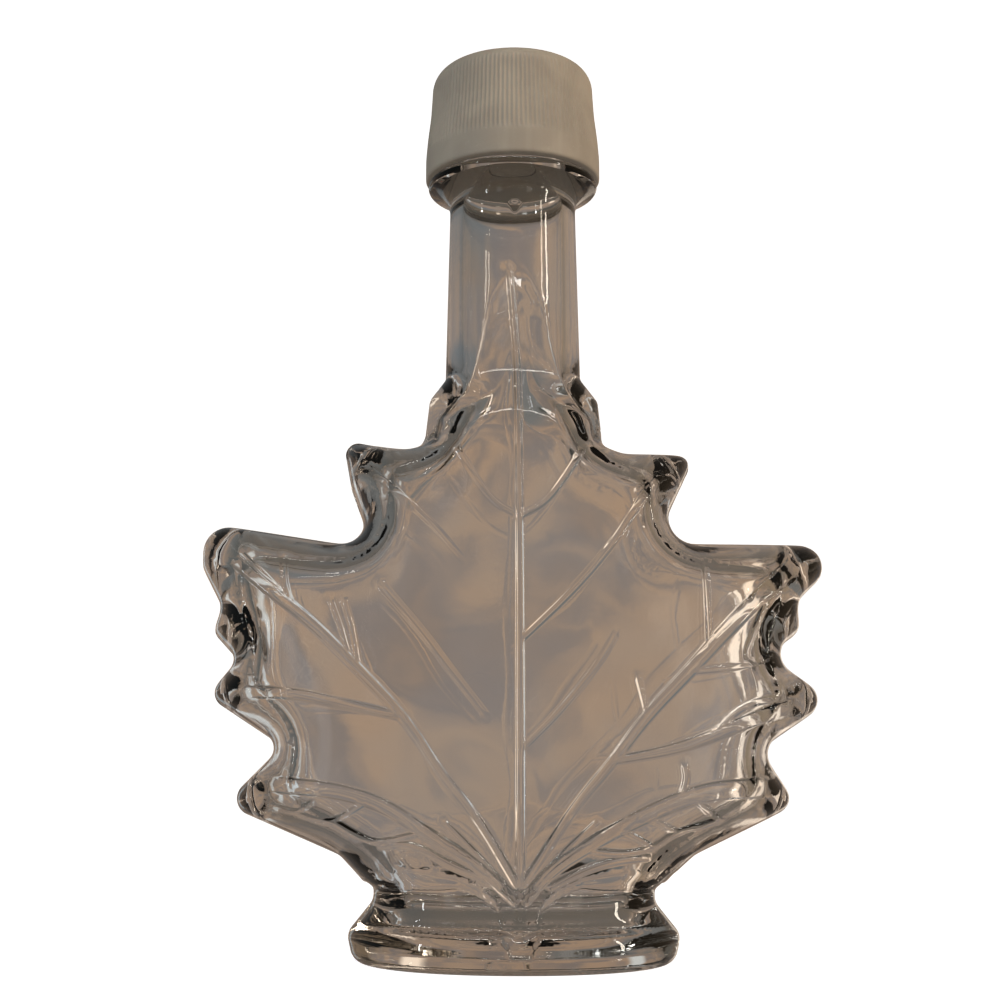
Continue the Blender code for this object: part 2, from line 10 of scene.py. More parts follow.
import logging
import math
from dataclasses import dataclass, field
from enum import Enum
from typing import Iterable, Sequence

import bmesh
import bpy
import numpy as np
from mathutils import Euler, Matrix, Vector
from mathutils.geometry import delaunay_2d_cdt
from mathutils.kdtree import KDTree

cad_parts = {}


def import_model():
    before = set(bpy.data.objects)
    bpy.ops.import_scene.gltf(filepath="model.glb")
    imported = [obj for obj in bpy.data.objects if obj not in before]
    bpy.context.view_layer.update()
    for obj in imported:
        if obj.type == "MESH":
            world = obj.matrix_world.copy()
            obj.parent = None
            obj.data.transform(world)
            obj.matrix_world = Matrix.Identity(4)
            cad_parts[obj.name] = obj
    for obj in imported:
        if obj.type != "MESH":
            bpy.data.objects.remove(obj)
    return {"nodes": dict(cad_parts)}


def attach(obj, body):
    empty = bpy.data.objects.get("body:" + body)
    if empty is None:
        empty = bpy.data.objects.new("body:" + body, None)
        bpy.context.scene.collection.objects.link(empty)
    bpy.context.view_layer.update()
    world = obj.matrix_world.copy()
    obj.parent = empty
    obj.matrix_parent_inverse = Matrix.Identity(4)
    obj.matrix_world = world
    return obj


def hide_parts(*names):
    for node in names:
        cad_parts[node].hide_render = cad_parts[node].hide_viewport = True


MM = 0.001
SAME_POINT = 1e-3
CLOSE_POINTS = 1e-4
LATTICE_ROW = 0.87

log = logging.getLogger("maple_leaf_bottle")

Pair = tuple[float, float]
Triple = tuple[float, float, float]
Points = np.ndarray
Link = bpy.types.NodeSocket


class Half(Enum):
    """The two halves of the mould, by the sign of Y on their side."""

    FRONT = -1
    BACK = 1


class Side(Enum):
    """The two sides of the leaf, by the sign of X."""

    RIGHT = 1
    LEFT = -1


# Shader building


class Amount:
    """A value socket in a node tree, with the arithmetic that the finishes use."""

    def __init__(self, bench: Bench, socket: Link) -> None:
        """Wraps a socket.

        Args:
            bench: The material that the socket belongs to.
            socket: The output socket that holds the value.
        """
        self.bench = bench
        self.socket = socket

    def _math(
        self, operation: str, first: Amount | float, second: Amount | float, clamp: bool = False
    ) -> Amount:
        """Adds a Math node.

        Args:
            operation: The Math node's operation.
            first: Its first value.
            second: Its second value.
            clamp: Whether the result stays between 0 and 1.

        Returns:
            The node's result.
        """
        settings = {"operation": operation, "use_clamp": clamp}
        made = self.bench.node("ShaderNodeMath", settings, {0: first, 1: second})
        return Amount(self.bench, made.outputs[0])

    def __add__(self, other: Amount | float) -> Amount:
        """The sum."""
        return self._math("ADD", self, other)

    def __radd__(self, other: float) -> Amount:
        """The sum, from the right."""
        return self._math("ADD", other, self)

    def __sub__(self, other: Amount | float) -> Amount:
        """The difference."""
        return self._math("SUBTRACT", self, other)

    def __rsub__(self, other: float) -> Amount:
        """The difference, from the right."""
        return self._math("SUBTRACT", other, self)

    def __mul__(self, other: Amount | float) -> Amount:
        """The product."""
        return self._math("MULTIPLY", self, other)

    def __rmul__(self, other: float) -> Amount:
        """The product, from the right."""
        return self._math("MULTIPLY", other, self)

    def clamped(self) -> Amount:
        """The value kept between 0 and 1."""
        return self._math("ADD", self, 0.0, clamp=True)


@dataclass(frozen=True)
class Noise:
    """A noise, and the part of its range over which a pattern made of it rises.

    Its scale is in waves to a unit of the place that it follows, its stretch is how much each axis is packed
    closer, and its twist is how far it distorts itself.
    """

    scale: float
    detail: float = 2.0
    rise: Pair = (0.0, 1.0)
    stretch: Triple = (1.0, 1.0, 1.0)
    twist: float = 0.0


class Bench:
    """The node tree of a material or of the room, and the ways to add to it."""

    def __init__(self, owner: bpy.types.Material | bpy.types.World, shader: str, place: str) -> None:
        """Opens a node tree.

        Args:
            owner: The material or the world.
            shader: The name of its shader node.
            place: Which texture coordinate its patterns follow.
        """
        owner.use_nodes = True
        self.owner = owner
        self.tree = owner.node_tree
        self.shader = self.tree.nodes[shader]
        self.place = self.node("ShaderNodeTexCoord").outputs[place]

    @classmethod
    def of_material(cls, name: str) -> Bench:
        """The bench of a new material, with patterns that follow the object."""
        return cls(bpy.data.materials.new(name), "Principled BSDF", "Object")

    @classmethod
    def of_world(cls, name: str) -> Bench:
        """The bench of a new world, with patterns that follow the direction."""
        return cls(bpy.data.worlds.new(name), "Background", "Generated")

    def node(
        self,
        kind: str,
        settings: dict[str, object] | None = None,
        sockets: dict[str | int, object] | None = None,
    ) -> bpy.types.Node:
        """Adds a node.

        Args:
            kind: The node's type.
            settings: Its settings, which are set before the sockets.
            sockets: What each input gets: a number, a colour, an Amount or another node's output.

        Returns:
            The new node.
        """
        made = self.tree.nodes.new(kind)
        for name, value in (settings or {}).items():
            setattr(made, name, value)
        for key, value in (sockets or {}).items():
            self.feed(made.inputs[key], value)
        return made

    def feed(self, socket: Link, value: object) -> None:
        """Gives an input its value or its link.

        Args:
            socket: The input.
            value: A number, a colour, an Amount or an output socket.
        """
        if isinstance(value, Amount):
            self.tree.links.new(value.socket, socket)
        elif isinstance(value, Link):
            self.tree.links.new(value, socket)
        else:
            socket.default_value = value

    def noise(self, kind: Noise) -> Amount:
        """A noise over its whole range.

        Args:
            kind: Which noise.

        Returns:
            The noise, from 0 to 1.
        """
        mapping = self.node("ShaderNodeMapping", None, {"Vector": self.place, "Scale": kind.stretch})
        sockets = {
            "Vector": mapping.outputs[0],
            "Scale": kind.scale,
            "Detail": kind.detail,
            "Distortion": kind.twist,
        }
        return Amount(self, self.node("ShaderNodeTexNoise", None, sockets).outputs[0])

    def pattern(self, kind: Noise) -> Amount:
        """A noise that rises smoothly from 0 to 1 over part of its range."""
        return self.eased(self.noise(kind), kind.rise)

    def axis(self, index: int) -> Amount:
        """One coordinate of the place that the patterns follow."""
        return Amount(self, self.node("ShaderNodeSeparateXYZ", None, {0: self.place}).outputs[index])

    def eased(self, value: Amount, rise: Pair) -> Amount:
        """A value's smooth rise.

        Args:
            value: The value.
            rise: Where it is 0 and where it is 1.

        Returns:
            The eased value.
        """
        settings = {"interpolation_type": "SMOOTHSTEP"}
        sockets = {"Value": value, "From Min": rise[0], "From Max": rise[1]}
        return Amount(self, self.node("ShaderNodeMapRange", settings, sockets).outputs[0])

    def within(self, value: Amount, band: Pair, soft: float) -> Amount:
        """A band that is 1 between two values.

        Args:
            value: The value.
            band: The band's lower and upper edge.
            soft: How soft the edges are.

        Returns:
            The band.
        """
        low, high = band
        rise = self.eased(value, (low - soft, low + soft))
        return rise * (1.0 - self.eased(value, (high - soft, high + soft)))

    def blended(self, share: Amount, first: object, second: object) -> Link:
        """A colour between two others.

        Args:
            share: 0 for the first and 1 for the second.
            first: A colour with alpha, or a colour link.
            second: A colour with alpha, or a colour link.

        Returns:
            The mixed colour.
        """
        made = self.node("ShaderNodeMix", {"data_type": "RGBA"}, {"Factor": share})
        self.feed(made.inputs[6], first)
        self.feed(made.inputs[7], second)
        return made.outputs[2]

    def bump(self, height: Amount, strength: float, distance: float) -> Link:
        """A bump from a height.

        Args:
            height: The height, from 0 to 1.
            strength: How strongly the bump shows.
            distance: How high 1 stands, in metres.

        Returns:
            The normal.
        """
        sockets = {"Height": height, "Strength": strength, "Distance": distance}
        return self.node("ShaderNodeBump", None, sockets).outputs[0]

    def finish(
        self, plain: dict[str, object], varied: dict[str, object]
    ) -> bpy.types.Material | bpy.types.World:
        """Sets the shader's sockets.

        Args:
            plain: What is the same all over.
            varied: What changes over the surface.

        Returns:
            The finished material or world.
        """
        for name, value in {**plain, **varied}.items():
            self.feed(self.shader.inputs[name], value)
        return self.owner


def opaque(colour: Triple) -> tuple[float, float, float, float]:
    """A colour with full alpha."""
    return (*colour, 1.0)


@dataclass(frozen=True)
class SmokyGlass:
    """Moulded soda glass with a faint smoky cast, a skin with long ripples, and a few finger marks."""

    cool: Triple = (0.93, 0.95, 0.97)
    warm: Triple = (0.99, 0.95, 0.90)
    index: float = 1.5
    absorbed: Triple = (0.5, 0.42, 0.32)
    density: float = 14.0
    polish: float = 0.0
    haze: float = 0.05
    clouds: Noise = Noise(38.0, rise=(0.38, 0.64), twist=0.6)
    smears: Noise = Noise(55.0, 4.0, (0.56, 0.72), (1.0, 1.0, 0.5), 0.9)
    grain: Noise = Noise(900.0)
    ripples: Noise = Noise(70.0, 1.5, stretch=(1.0, 1.0, 0.45))
    skin: Noise = Noise(420.0)
    ripple_height: float = 0.00016
    skin_height: float = 0.00002
    relief: float = 0.6

    def make(self) -> bpy.types.Material:
        """Builds the glass.

        Returns:
            The material.
        """
        bench = Bench.of_material("smoky_glass")
        colour = bench.blended(bench.pattern(self.clouds), opaque(self.cool), opaque(self.warm))
        roughness = self.polish + bench.pattern(self.smears) * bench.noise(self.grain) * self.haze
        height = bench.noise(self.ripples) + bench.noise(self.skin) * (self.skin_height / self.ripple_height)
        normal = bench.bump(height, self.relief, self.ripple_height)
        bench.finish(
            {"IOR": self.index, "Transmission Weight": 1.0, "Metallic": 0.0},
            {"Base Color": colour, "Roughness": roughness, "Normal": normal},
        )
        sockets = {"Color": opaque(self.absorbed), "Density": self.density}
        body = bench.node("ShaderNodeVolumeAbsorption", None, sockets)
        bench.feed(bench.tree.nodes["Material Output"].inputs["Volume"], body.outputs[0])
        return bench.owner


@dataclass(frozen=True)
class CapPlastic:
    """Pale moulded polypropylene, a little dusty, with specks and fine streaks."""

    shade: Triple = (0.30, 0.262, 0.215)
    light: Triple = (0.37, 0.325, 0.265)
    dust: Triple = (0.42, 0.385, 0.33)
    # Painted glow: the plastic emits a little light of its own, which lifts its shaded skirt and inside
    glow: Triple = (0.40, 0.34, 0.28)
    painted_glow_strength: float = 0.14
    roughness: float = 0.46
    index: float = 1.49
    milkiness: float = 0.06
    milk_depth: float = 0.002
    mottle: Noise = Noise(120.0, 3.0, (0.35, 0.7), twist=0.4)
    specks: Noise = Noise(1400.0, rise=(0.62, 0.74))
    streaks: Noise = Noise(420.0, rise=(0.5, 0.75), stretch=(1.0, 1.0, 0.06))
    fine_grain: Noise = Noise(2200.0, 3.0)
    coarse_grain: Noise = Noise(300.0)
    speck_dust: float = 0.25
    streak_dust: float = 0.22
    mottle_haze: float = 0.08
    speck_haze: float = 0.1
    coarse_share: float = 0.6
    relief: float = 0.35
    grain_height: float = 0.00006

    def make(self) -> bpy.types.Material:
        """Builds the plastic.

        Returns:
            The material.
        """
        bench = Bench.of_material("cap_plastic")
        mottle, specks = bench.pattern(self.mottle), bench.pattern(self.specks)
        base = bench.blended(mottle, opaque(self.shade), opaque(self.light))
        dust = specks * self.speck_dust + bench.pattern(self.streaks) * self.streak_dust
        colour = bench.blended(dust.clamped(), base, opaque(self.dust))
        roughness = self.roughness + mottle * self.mottle_haze + specks * self.speck_haze
        grain = bench.noise(self.fine_grain) + bench.noise(self.coarse_grain) * self.coarse_share
        normal = bench.bump(grain, self.relief, self.grain_height)
        bench.finish(
            {
                "IOR": self.index,
                "Subsurface Weight": self.milkiness,
                "Subsurface Scale": self.milk_depth,
                # Painted glow, which brightens the shaded skirt and the inside seen through the glass
                "Emission Color": opaque(self.glow),
                "Emission Strength": self.painted_glow_strength,
            },
            {"Base Color": colour, "Roughness": roughness, "Normal": normal},
        )
        return bench.owner


@dataclass(frozen=True)
class PaleSurface:
    """The pale floor's paint, which glows so that it stays even."""

    colour: Triple = (0.8, 0.8, 0.8)
    darker: float = 0.985
    patches: Noise = Noise(3.0, rise=(0.3, 0.7))
    roughness: float = 0.8
    glow: float = 0.98

    def make(self) -> bpy.types.Material:
        """Builds the paint.

        Returns:
            The material.
        """
        bench = Bench.of_material("pale_floor")
        darker = tuple(self.darker * part for part in self.colour)
        colour = bench.blended(bench.pattern(self.patches), opaque(self.colour), opaque(darker))
        plain = {
            "Roughness": self.roughness,
            "Emission Color": opaque((1.0, 1.0, 1.0)),
            "Emission Strength": self.glow,
        }
        return bench.finish(plain, {"Base Color": colour})


@dataclass(frozen=True)
class DimRoom:
    """The room that the glass mirrors and shows, with places as parts of the direction across, ahead and up.

    It is blurred taupe and grey, cooler on the left and warmer on the right, with a tall gleam on each side.
    """

    tan: Triple = (0.43, 0.315, 0.23)
    slate: Triple = (0.255, 0.22, 0.205)
    cool: Triple = (0.105, 0.115, 0.115)
    warm: Triple = (0.27, 0.205, 0.14)
    dark: Triple = (0.125, 0.113, 0.1)
    shadow: Triple = (0.19, 0.2, 0.205)
    cool_gleam: Triple = (0.75, 0.79, 0.8)
    warm_gleam: Triple = (1.3, 1.08, 0.87)
    clouds: Noise = Noise(7.0, rise=(0.36, 0.64), twist=0.5)
    shadow_up: Pair = (0.22, 0.34)
    shadow_end: Pair = (-0.1, 0.06)
    side_to_side: Pair = (-0.75, 0.75)
    side_to_back: Pair = (0.25, 0.85)
    ceiling_up: Pair = (0.3, 0.85)
    ceiling_shade: float = 0.85
    ground_down: Pair = (-0.2, -0.65)
    ground_shade: float = 0.8
    gleam_up: Pair = (-0.35, 0.2)
    gleam_end: float = 0.05
    left_gleam: Pair = (-0.5, -0.38)
    right_gleam: Pair = (0.36, 0.48)
    gleam_edge: float = 0.03

    def make(self) -> bpy.types.World:
        """Builds the room.

        Returns:
            The world.
        """
        bench = Bench.of_world("dim_room")
        across, ahead, up = (bench.axis(index) for index in range(3))
        behind = bench.blended(bench.pattern(self.clouds), opaque(self.slate), opaque(self.tan))
        corner = bench.eased(up, self.shadow_up) * (1.0 - bench.eased(across, self.shadow_end))
        behind = bench.blended(corner, behind, opaque(self.shadow))
        sides = bench.blended(bench.eased(across, self.side_to_side), opaque(self.cool), opaque(self.warm))
        level = bench.blended(bench.eased(ahead, self.side_to_back), sides, behind)
        ceiling = bench.eased(up, self.ceiling_up) * self.ceiling_shade
        shade = (ceiling + bench.eased(up, self.ground_down) * self.ground_shade).clamped()
        colour = bench.blended(shade, level, opaque(self.dark))
        tall = bench.within(up, self.gleam_up, self.gleam_end)
        for band, gleam in ((self.left_gleam, self.cool_gleam), (self.right_gleam, self.warm_gleam)):
            colour = bench.blended(bench.within(across, band, self.gleam_edge) * tall, colour, opaque(gleam))
        return bench.finish({"Strength": 1.0}, {"Color": colour})


# Lines and heights


def smooth_step(value: Points, low: float, high: float) -> Points:
    """The smooth rise of a value from 0 at low to 1 at high."""
    share = np.clip((value - low) / (high - low), 0.0, 1.0)
    return share * share * (3.0 - 2.0 * share)


def oval(across: Points, width: Points, depth: Points, roundness: Points | float) -> Points:
    """How far an oval reaches at a distance across it.

    Args:
        across: The distance across.
        width: The oval's half-width.
        depth: The oval's half-depth.
        roundness: Its power, 2 for an ellipse.

    Returns:
        The reach at each place.
    """
    share = np.clip(np.abs(across) / width, 0.0, 1.0)
    return depth * (1.0 - share**roundness) ** (1.0 / roundness)


def softened(rows: Sequence[Pair], places: Points, blur: float) -> Points:
    """A value read from rows of (value, place), with its corners rounded off.

    Args:
        rows: The rows, in any order.
        places: Where the value is wanted.
        blur: How far the rounding reaches.

    Returns:
        The value at each place.
    """
    ordered = sorted(rows, key=lambda row: row[1])
    values, stops = zip(*ordered)
    total = np.zeros(len(places))
    offsets = np.linspace(-1.0, 1.0, 9)
    weights = 1.0 - offsets**2 * 0.9
    for offset, weight in zip(offsets, weights):
        total += weight * np.interp(places + offset * blur, stops, values)
    return total / weights.sum()


def joined(first: Points, second: Points, reach: float) -> Points:
    """The greater of two heights, with the valley between them filled softly.

    Args:
        first: The one height at each place.
        second: The other height.
        reach: How far apart the two may be for the filling to begin.

    Returns:
        The height at each place.
    """
    share = np.clip(0.5 + 0.5 * (second - first) / reach, 0.0, 1.0)
    return first + (second - first) * share + reach * share * (1.0 - share)


def curved(points: Points, rounds: int = 2) -> Points:
    """The same line with its corners cut off time after time, and its ends kept.

    Args:
        points: The line's corners.
        rounds: How often the corners are cut.

    Returns:
        The curved line.
    """
    for _ in range(rounds):
        starts, ends = points[:-1], points[1:]
        cut = np.stack([starts * 0.75 + ends * 0.25, starts * 0.25 + ends * 0.75], axis=1).reshape(-1, 2)
        points = np.concatenate([points[:1], cut, points[-1:]])
    return points


def blurred(points: Points, rounds: int) -> Points:
    """The same line with each point moved toward its neighbours time after time, and its ends kept.

    Args:
        points: The line's points.
        rounds: How often they are moved.

    Returns:
        The blurred line.
    """
    line = points.copy()
    for _ in range(rounds):
        line[1:-1] = 0.5 * line[1:-1] + 0.25 * (line[:-2] + line[2:])
    return line


def divided(points: Points, step: float) -> Points:
    """The same line with points no further apart than a step.

    Args:
        points: The line's corners.
        step: The longest gap.

    Returns:
        The divided line.
    """
    line = [points[0]]
    for start, end in zip(points, points[1:]):
        length = np.linalg.norm(end - start)
        if length < SAME_POINT:
            continue
        count = max(1, math.ceil(length / step))
        line += [start + (end - start) * number / count for number in range(1, count + 1)]
    return np.array(line)


def rounded(corners: Sequence[Sequence[float]], step: float, turn_step: float = 9.0) -> Points:
    """Points along a chain of corners, with an arc at every corner that has a radius.

    Args:
        corners: Each corner as across, height and radius.
        step: The longest gap between points.
        turn_step: The widest turn between points on an arc, in degrees.

    Returns:
        The line.
    """
    places = [np.array(corner[:2], float) for corner in corners]
    points = [places[0]]
    for before, corner, after, radius in zip(places, places[1:], places[2:], [c[2] for c in corners[1:]]):
        back = (before - corner) / np.linalg.norm(before - corner)
        ahead = (after - corner) / np.linalg.norm(after - corner)
        half = math.acos(np.clip(back @ ahead, -1.0, 1.0)) / 2
        middle = corner + (back + ahead) / np.linalg.norm(back + ahead) * radius / math.sin(half)
        start = corner + back * radius / math.tan(half) - middle
        turn = math.pi - 2 * half
        side = np.sign(back[0] * ahead[1] - back[1] * ahead[0])
        count = max(1, math.ceil(math.degrees(turn) / turn_step))
        for number in range(count + 1):
            angle = -side * turn * number / count
            cosine, sine = math.cos(angle), math.sin(angle)
            points.append(middle + (start[0] * cosine - start[1] * sine, start[0] * sine + start[1] * cosine))
    points.append(places[-1])
    return divided(np.array(points), step)


def distance_to(lines: Iterable[Points], points: Points) -> Points:
    """The distance of each point from the nearest of some lines.

    Args:
        lines: The lines.
        points: The points.

    Returns:
        The distances.
    """
    nearest = np.full(len(points), np.inf)
    for line in lines:
        for start, end in zip(line, line[1:]):
            along = end - start
            share = np.clip(((points - start) @ along) / (along @ along), 0.0, 1.0)
            away = points - start - share[:, None] * along
            nearest = np.minimum(nearest, np.einsum("ij,ij->i", away, away))
    return np.sqrt(nearest)


def inside(loop: Points, points: Points) -> Points:
    """Whether each point lies inside a closed loop.

    Args:
        loop: The loop's corners.
        points: The points.

    Returns:
        True for each point inside.
    """
    crossed = np.zeros(len(points), bool)
    for start, end in zip(loop, np.roll(loop, -1, axis=0)):
        spans = (start[1] > points[:, 1]) != (end[1] > points[:, 1])
        rise = end[1] - start[1] if end[1] != start[1] else 1.0
        crossing = start[0] + (points[:, 1] - start[1]) / rise * (end[0] - start[0])
        crossed ^= spans & (points[:, 0] < crossing)
    return crossed


def waves(points: Points, seed: int, shortest: float, longest: float, count: int = 14) -> Points:
    """A gentle unevenness made of crossing waves, from about -1 to 1.

    Args:
        points: The points.
        seed: Which unevenness it is.
        shortest: The shortest wave.
        longest: The longest wave.
        count: How many waves cross.

    Returns:
        The unevenness at each point.
    """
    chance = np.random.default_rng(seed)
    total = np.zeros(len(points))
    for _ in range(count):
        angle, phase = chance.uniform(0.0, 2.0 * math.pi, 2)
        length = chance.uniform(shortest, longest)
        ahead = np.array((math.cos(angle), math.sin(angle))) * 2.0 * math.pi / length
        total += np.sin(points @ ahead + phase)
    return total / math.sqrt(count)


def lattice(half_width: float, tall: Pair, step: float) -> Points:
    """A triangular lattice of points on both sides of the middle.

    Args:
        half_width: How far it reaches to each side.
        tall: Its lower and upper end.
        step: The points' distance.

    Returns:
        The points.
    """
    rows = np.arange(tall[0], tall[1], step * LATTICE_ROW)
    starts = [-half_width + (number % 2) * step / 2 for number in range(len(rows))]
    return np.array([(x, z) for start, z in zip(starts, rows) for x in np.arange(start, half_width, step)])


def circle(radius: float, height: float, sides: int) -> Points:
    """A level circle's points in space.

    Args:
        radius: Its radius.
        height: Its height.
        sides: How many points it has.

    Returns:
        The points.
    """
    angles = np.linspace(0.0, 2.0 * math.pi, sides, endpoint=False)
    return np.stack([radius * np.cos(angles), radius * np.sin(angles), np.full(sides, height)], axis=1)


class Cloud:
    """Points for a triangulation, which keep clear of each other."""

    def __init__(self, fixed: Points) -> None:
        """Starts with points that stay.

        Args:
            fixed: The points that every other one keeps clear of.
        """
        self.points = fixed
        self.first = len(fixed)

    def add(self, candidates: Points, gap: float) -> None:
        """Adds those candidates that keep a gap.

        Args:
            candidates: The new points.
            gap: The least distance from every other point.
        """
        tree = KDTree(len(self.points))
        for number, point in enumerate(self.points):
            tree.insert((point[0], point[1], 0.0), number)
        tree.balance()
        cells: dict[tuple[int, int], list[Points]] = {}
        kept = []
        for point in candidates:
            if tree.find((point[0], point[1], 0.0))[2] <= gap:
                continue
            column, row = int(point[0] // gap), int(point[1] // gap)
            near = [cells.get((column + a, row + b), []) for a in (-1, 0, 1) for b in (-1, 0, 1)]
            if any(math.dist(point, other) <= gap for group in near for other in group):
                continue
            cells.setdefault((column, row), []).append(point)
            kept.append(point)
        if kept:
            self.points = np.concatenate([self.points, np.array(kept)])

    def added(self) -> Points:
        """The points beyond those that stay."""
        return self.points[self.first :]


def triangles(loop: Points, ridges: Sequence[Points], extra: Points) -> tuple[Points, list[list[int]]]:
    """Fills a loop with triangles that have edges along some ridges.

    Args:
        loop: The outline.
        ridges: The lines that get edges.
        extra: Further points.

    Returns:
        The points and the triangles.
    """
    points = [*loop]
    edges = [(number, (number + 1) % len(loop)) for number in range(len(loop))]
    for ridge in ridges:
        first = len(points)
        points += [*ridge]
        edges += [(first + number, first + number + 1) for number in range(len(ridge) - 1)]
    points += [*extra]
    found = delaunay_2d_cdt([Vector(point) for point in points], edges, [], 1, CLOSE_POINTS)
    return np.array([tuple(point) for point in found[0]]), [list(face) for face in found[2]]


@dataclass
class PulledSkin:
    """A skin over a triangulated shape, which is held down along some edges and pulled up everywhere else."""

    points: Points
    faces: list[list[int]]
    held: Points

    def _weights(self) -> tuple[Points, Points, Points, Points]:
        """The pull between neighbours.

        Returns:
            Both ends of each link, how strong it is, and the area round each point.
        """
        corners = np.array(self.faces)
        area = np.zeros(len(self.points))
        first, second, strength = [], [], []
        for turn in range(3):
            tip, start, end = (corners[:, (turn + step) % 3] for step in range(3))
            before, after = self.points[start] - self.points[tip], self.points[end] - self.points[tip]
            double = np.abs(before[:, 0] * after[:, 1] - before[:, 1] * after[:, 0]).clip(1e-9)
            pull = 0.5 * np.einsum("ij,ij->i", before, after) / double
            first += [start, end]
            second += [end, start]
            strength += [pull, pull]
            area += np.bincount(tip, double / 6.0, minlength=len(area))
        return np.concatenate(first), np.concatenate(second), np.concatenate(strength), area

    def inset(self, reach: float, rounds: int = 900) -> Points:
        """A soft distance from the held edges, which cuts corners where an edge turns sharply.

        Args:
            reach: How far the held edges are felt.
            rounds: The most steps towards rest.

        Returns:
            The distance at each point.
        """
        first, second, strength, area = self._weights()
        count = len(self.points)
        spring = area / reach**2
        stiff = np.bincount(first, strength, minlength=count) + spring
        loose = ~self.held

        def pulled(value: Points) -> Points:
            """The force on each loose point."""
            return (stiff * value - np.bincount(first, strength * value[second], minlength=count)) * loose

        value = np.zeros(count)
        rest = spring * loose
        eased = rest / stiff
        move = eased.copy()
        product = rest @ eased
        for _ in range(rounds):
            force = pulled(move)
            step = product / (move @ force)
            value += step * move
            rest = rest - step * force
            eased = rest / stiff
            following = rest @ eased
            if following < 1e-12:
                break
            move = eased + following / product * move
            product = following
        return -reach * np.log(1.0 - np.clip(value, 0.0, 1.0 - 1e-6))

    def along(self, values: Points, levels: Sequence[float]) -> Points:
        """Points where a value crosses some levels.

        Args:
            values: The value at each point.
            levels: The levels.

        Returns:
            The crossings on the triangles' edges.
        """
        corners = np.array(self.faces)
        edges = np.concatenate([corners[:, [0, 1]], corners[:, [1, 2]], corners[:, [2, 0]]])
        pairs = np.unique(np.sort(edges, axis=1), axis=0)
        start, end = values[pairs[:, 0]], values[pairs[:, 1]]
        found = []
        for level in levels:
            crossed = (start - level) * (end - level) < 0.0
            share = ((level - start) / np.where(crossed, end - start, 1.0))[crossed, None]
            ends = pairs[crossed]
            found.append(self.points[ends[:, 0]] * (1.0 - share) + self.points[ends[:, 1]] * share)
        return np.concatenate(found)


@dataclass(frozen=True)
class Vein:
    """A ridge on the leaf's face."""

    path: tuple[Pair, ...]
    start_width: float = 0.9
    end_width: float = 0.6
    rise: float = 0.5
    fading: Pair = (1.0, 1.0)
    edge: float = 0.2
    row_shares: tuple[float, ...] = (-1.0, -0.4, 0.2, 1.0, 2.0)
    crown_share: float = 0.35

    @property
    def bends(self) -> Points:
        """The vein's middle line with its bends rounded."""
        return curved(np.array(self.path)) if len(self.path) > 2 else np.array(self.path)

    def line(self, step: float) -> Points:
        """The vein's middle line, with points a step apart."""
        return divided(self.bends, step)

    def rows(self, step: float) -> Points:
        """Points beside the middle line, on both flanks.

        Args:
            step: How far apart the points are along the vein.

        Returns:
            The points.
        """
        line = self.line(step)
        along = np.gradient(line, axis=0)
        normal = np.stack([along[:, 1], -along[:, 0]], axis=1) / np.linalg.norm(along, axis=1)[:, None]
        width = np.linspace(self.start_width, self.end_width, len(line))[:, None]
        offsets = [width + self.edge * share for share in self.row_shares]
        return np.concatenate([line + normal * offset * side.value for offset in offsets for side in Side])

    def height(self, points: Points) -> Points:
        """How far the vein stands up at each point.

        Args:
            points: The points.

        Returns:
            The heights.
        """
        line = self.bends
        lengths = np.linalg.norm(np.diff(line, axis=0), axis=1)
        passed = np.concatenate([[0.0], np.cumsum(lengths)]) / lengths.sum()
        best = np.zeros(len(points))
        for number, (start, end) in enumerate(zip(line, line[1:])):
            along = end - start
            share = np.clip(((points - start) @ along) / (along @ along), 0.0, 1.0)
            away = np.linalg.norm(points - start - share[:, None] * along, axis=1)
            place = passed[number] + share * (passed[number + 1] - passed[number])
            width = self.start_width + (self.end_width - self.start_width) * place
            flank = np.clip((width + self.edge - away) / (2.0 * self.edge), 0.0, 1.0)
            crown = np.clip(1.0 - (away / (width + self.edge)) ** 2, 0.0, 1.0)
            strength = self.fading[0] + (self.fading[1] - self.fading[0]) * place
            side = (1.0 - self.crown_share) * flank * flank * (3.0 - 2.0 * flank)
            best = np.maximum(best, strength * (side + self.crown_share * crown))
        return self.rise * best


@dataclass
class Outline:
    """A closed shape in the X-Z plane, made of a right and a left line from its top down."""

    right: Points
    left: Points

    @property
    def lines(self) -> list[Points]:
        """Both lines."""
        return [self.right, self.left]

    def inset(self, points: Points) -> Points:
        """How far each point lies inside the outline."""
        return distance_to(self.lines, points)

    def half_width(self, points: Points, low: float, high: float) -> Points:
        """The outline's half-width at each point's height.

        Args:
            points: The points.
            low: The lowest height that counts.
            high: The highest one. The outline doesn't turn back between them.

        Returns:
            The half-widths.
        """
        widths = np.empty(len(points))
        for side, line in zip(Side, self.lines):
            piece = line[(line[:, 1] >= low - SAME_POINT) & (line[:, 1] <= high + SAME_POINT)][::-1]
            here = points[:, 0] * side.value >= 0
            widths[here] = np.interp(points[here, 1], piece[:, 1], np.abs(piece[:, 0]))
        return widths

    def heights(self, low: float, high: float) -> dict[Side, Points]:
        """The heights of each side's points between two heights."""
        rows = {side: line[:, 1] for side, line in zip(Side, self.lines)}
        return {side: row[(row > low) & (row < high)] for side, row in rows.items()}

    def rows(self, insets: Sequence[float], share: float = 0.97) -> Points:
        """Points along rows inside the outline, leaving out those that come nearer to another stretch of it.

        Args:
            insets: How far inside each row lies.
            share: How much of that distance a point has to keep.

        Returns:
            The points.
        """
        found = []
        for side, line in zip(Side, self.lines):
            ordered = line if side is Side.RIGHT else line[::-1]
            along = ordered[2:] - ordered[:-2]
            normals = np.stack([along[:, 1], -along[:, 0]], axis=1) / np.linalg.norm(along, axis=1)[:, None]
            for inset in insets:
                moved = ordered[1:-1] + normals * inset
                found.append(moved[self.inset(moved) > inset * share])
        return np.concatenate(found)


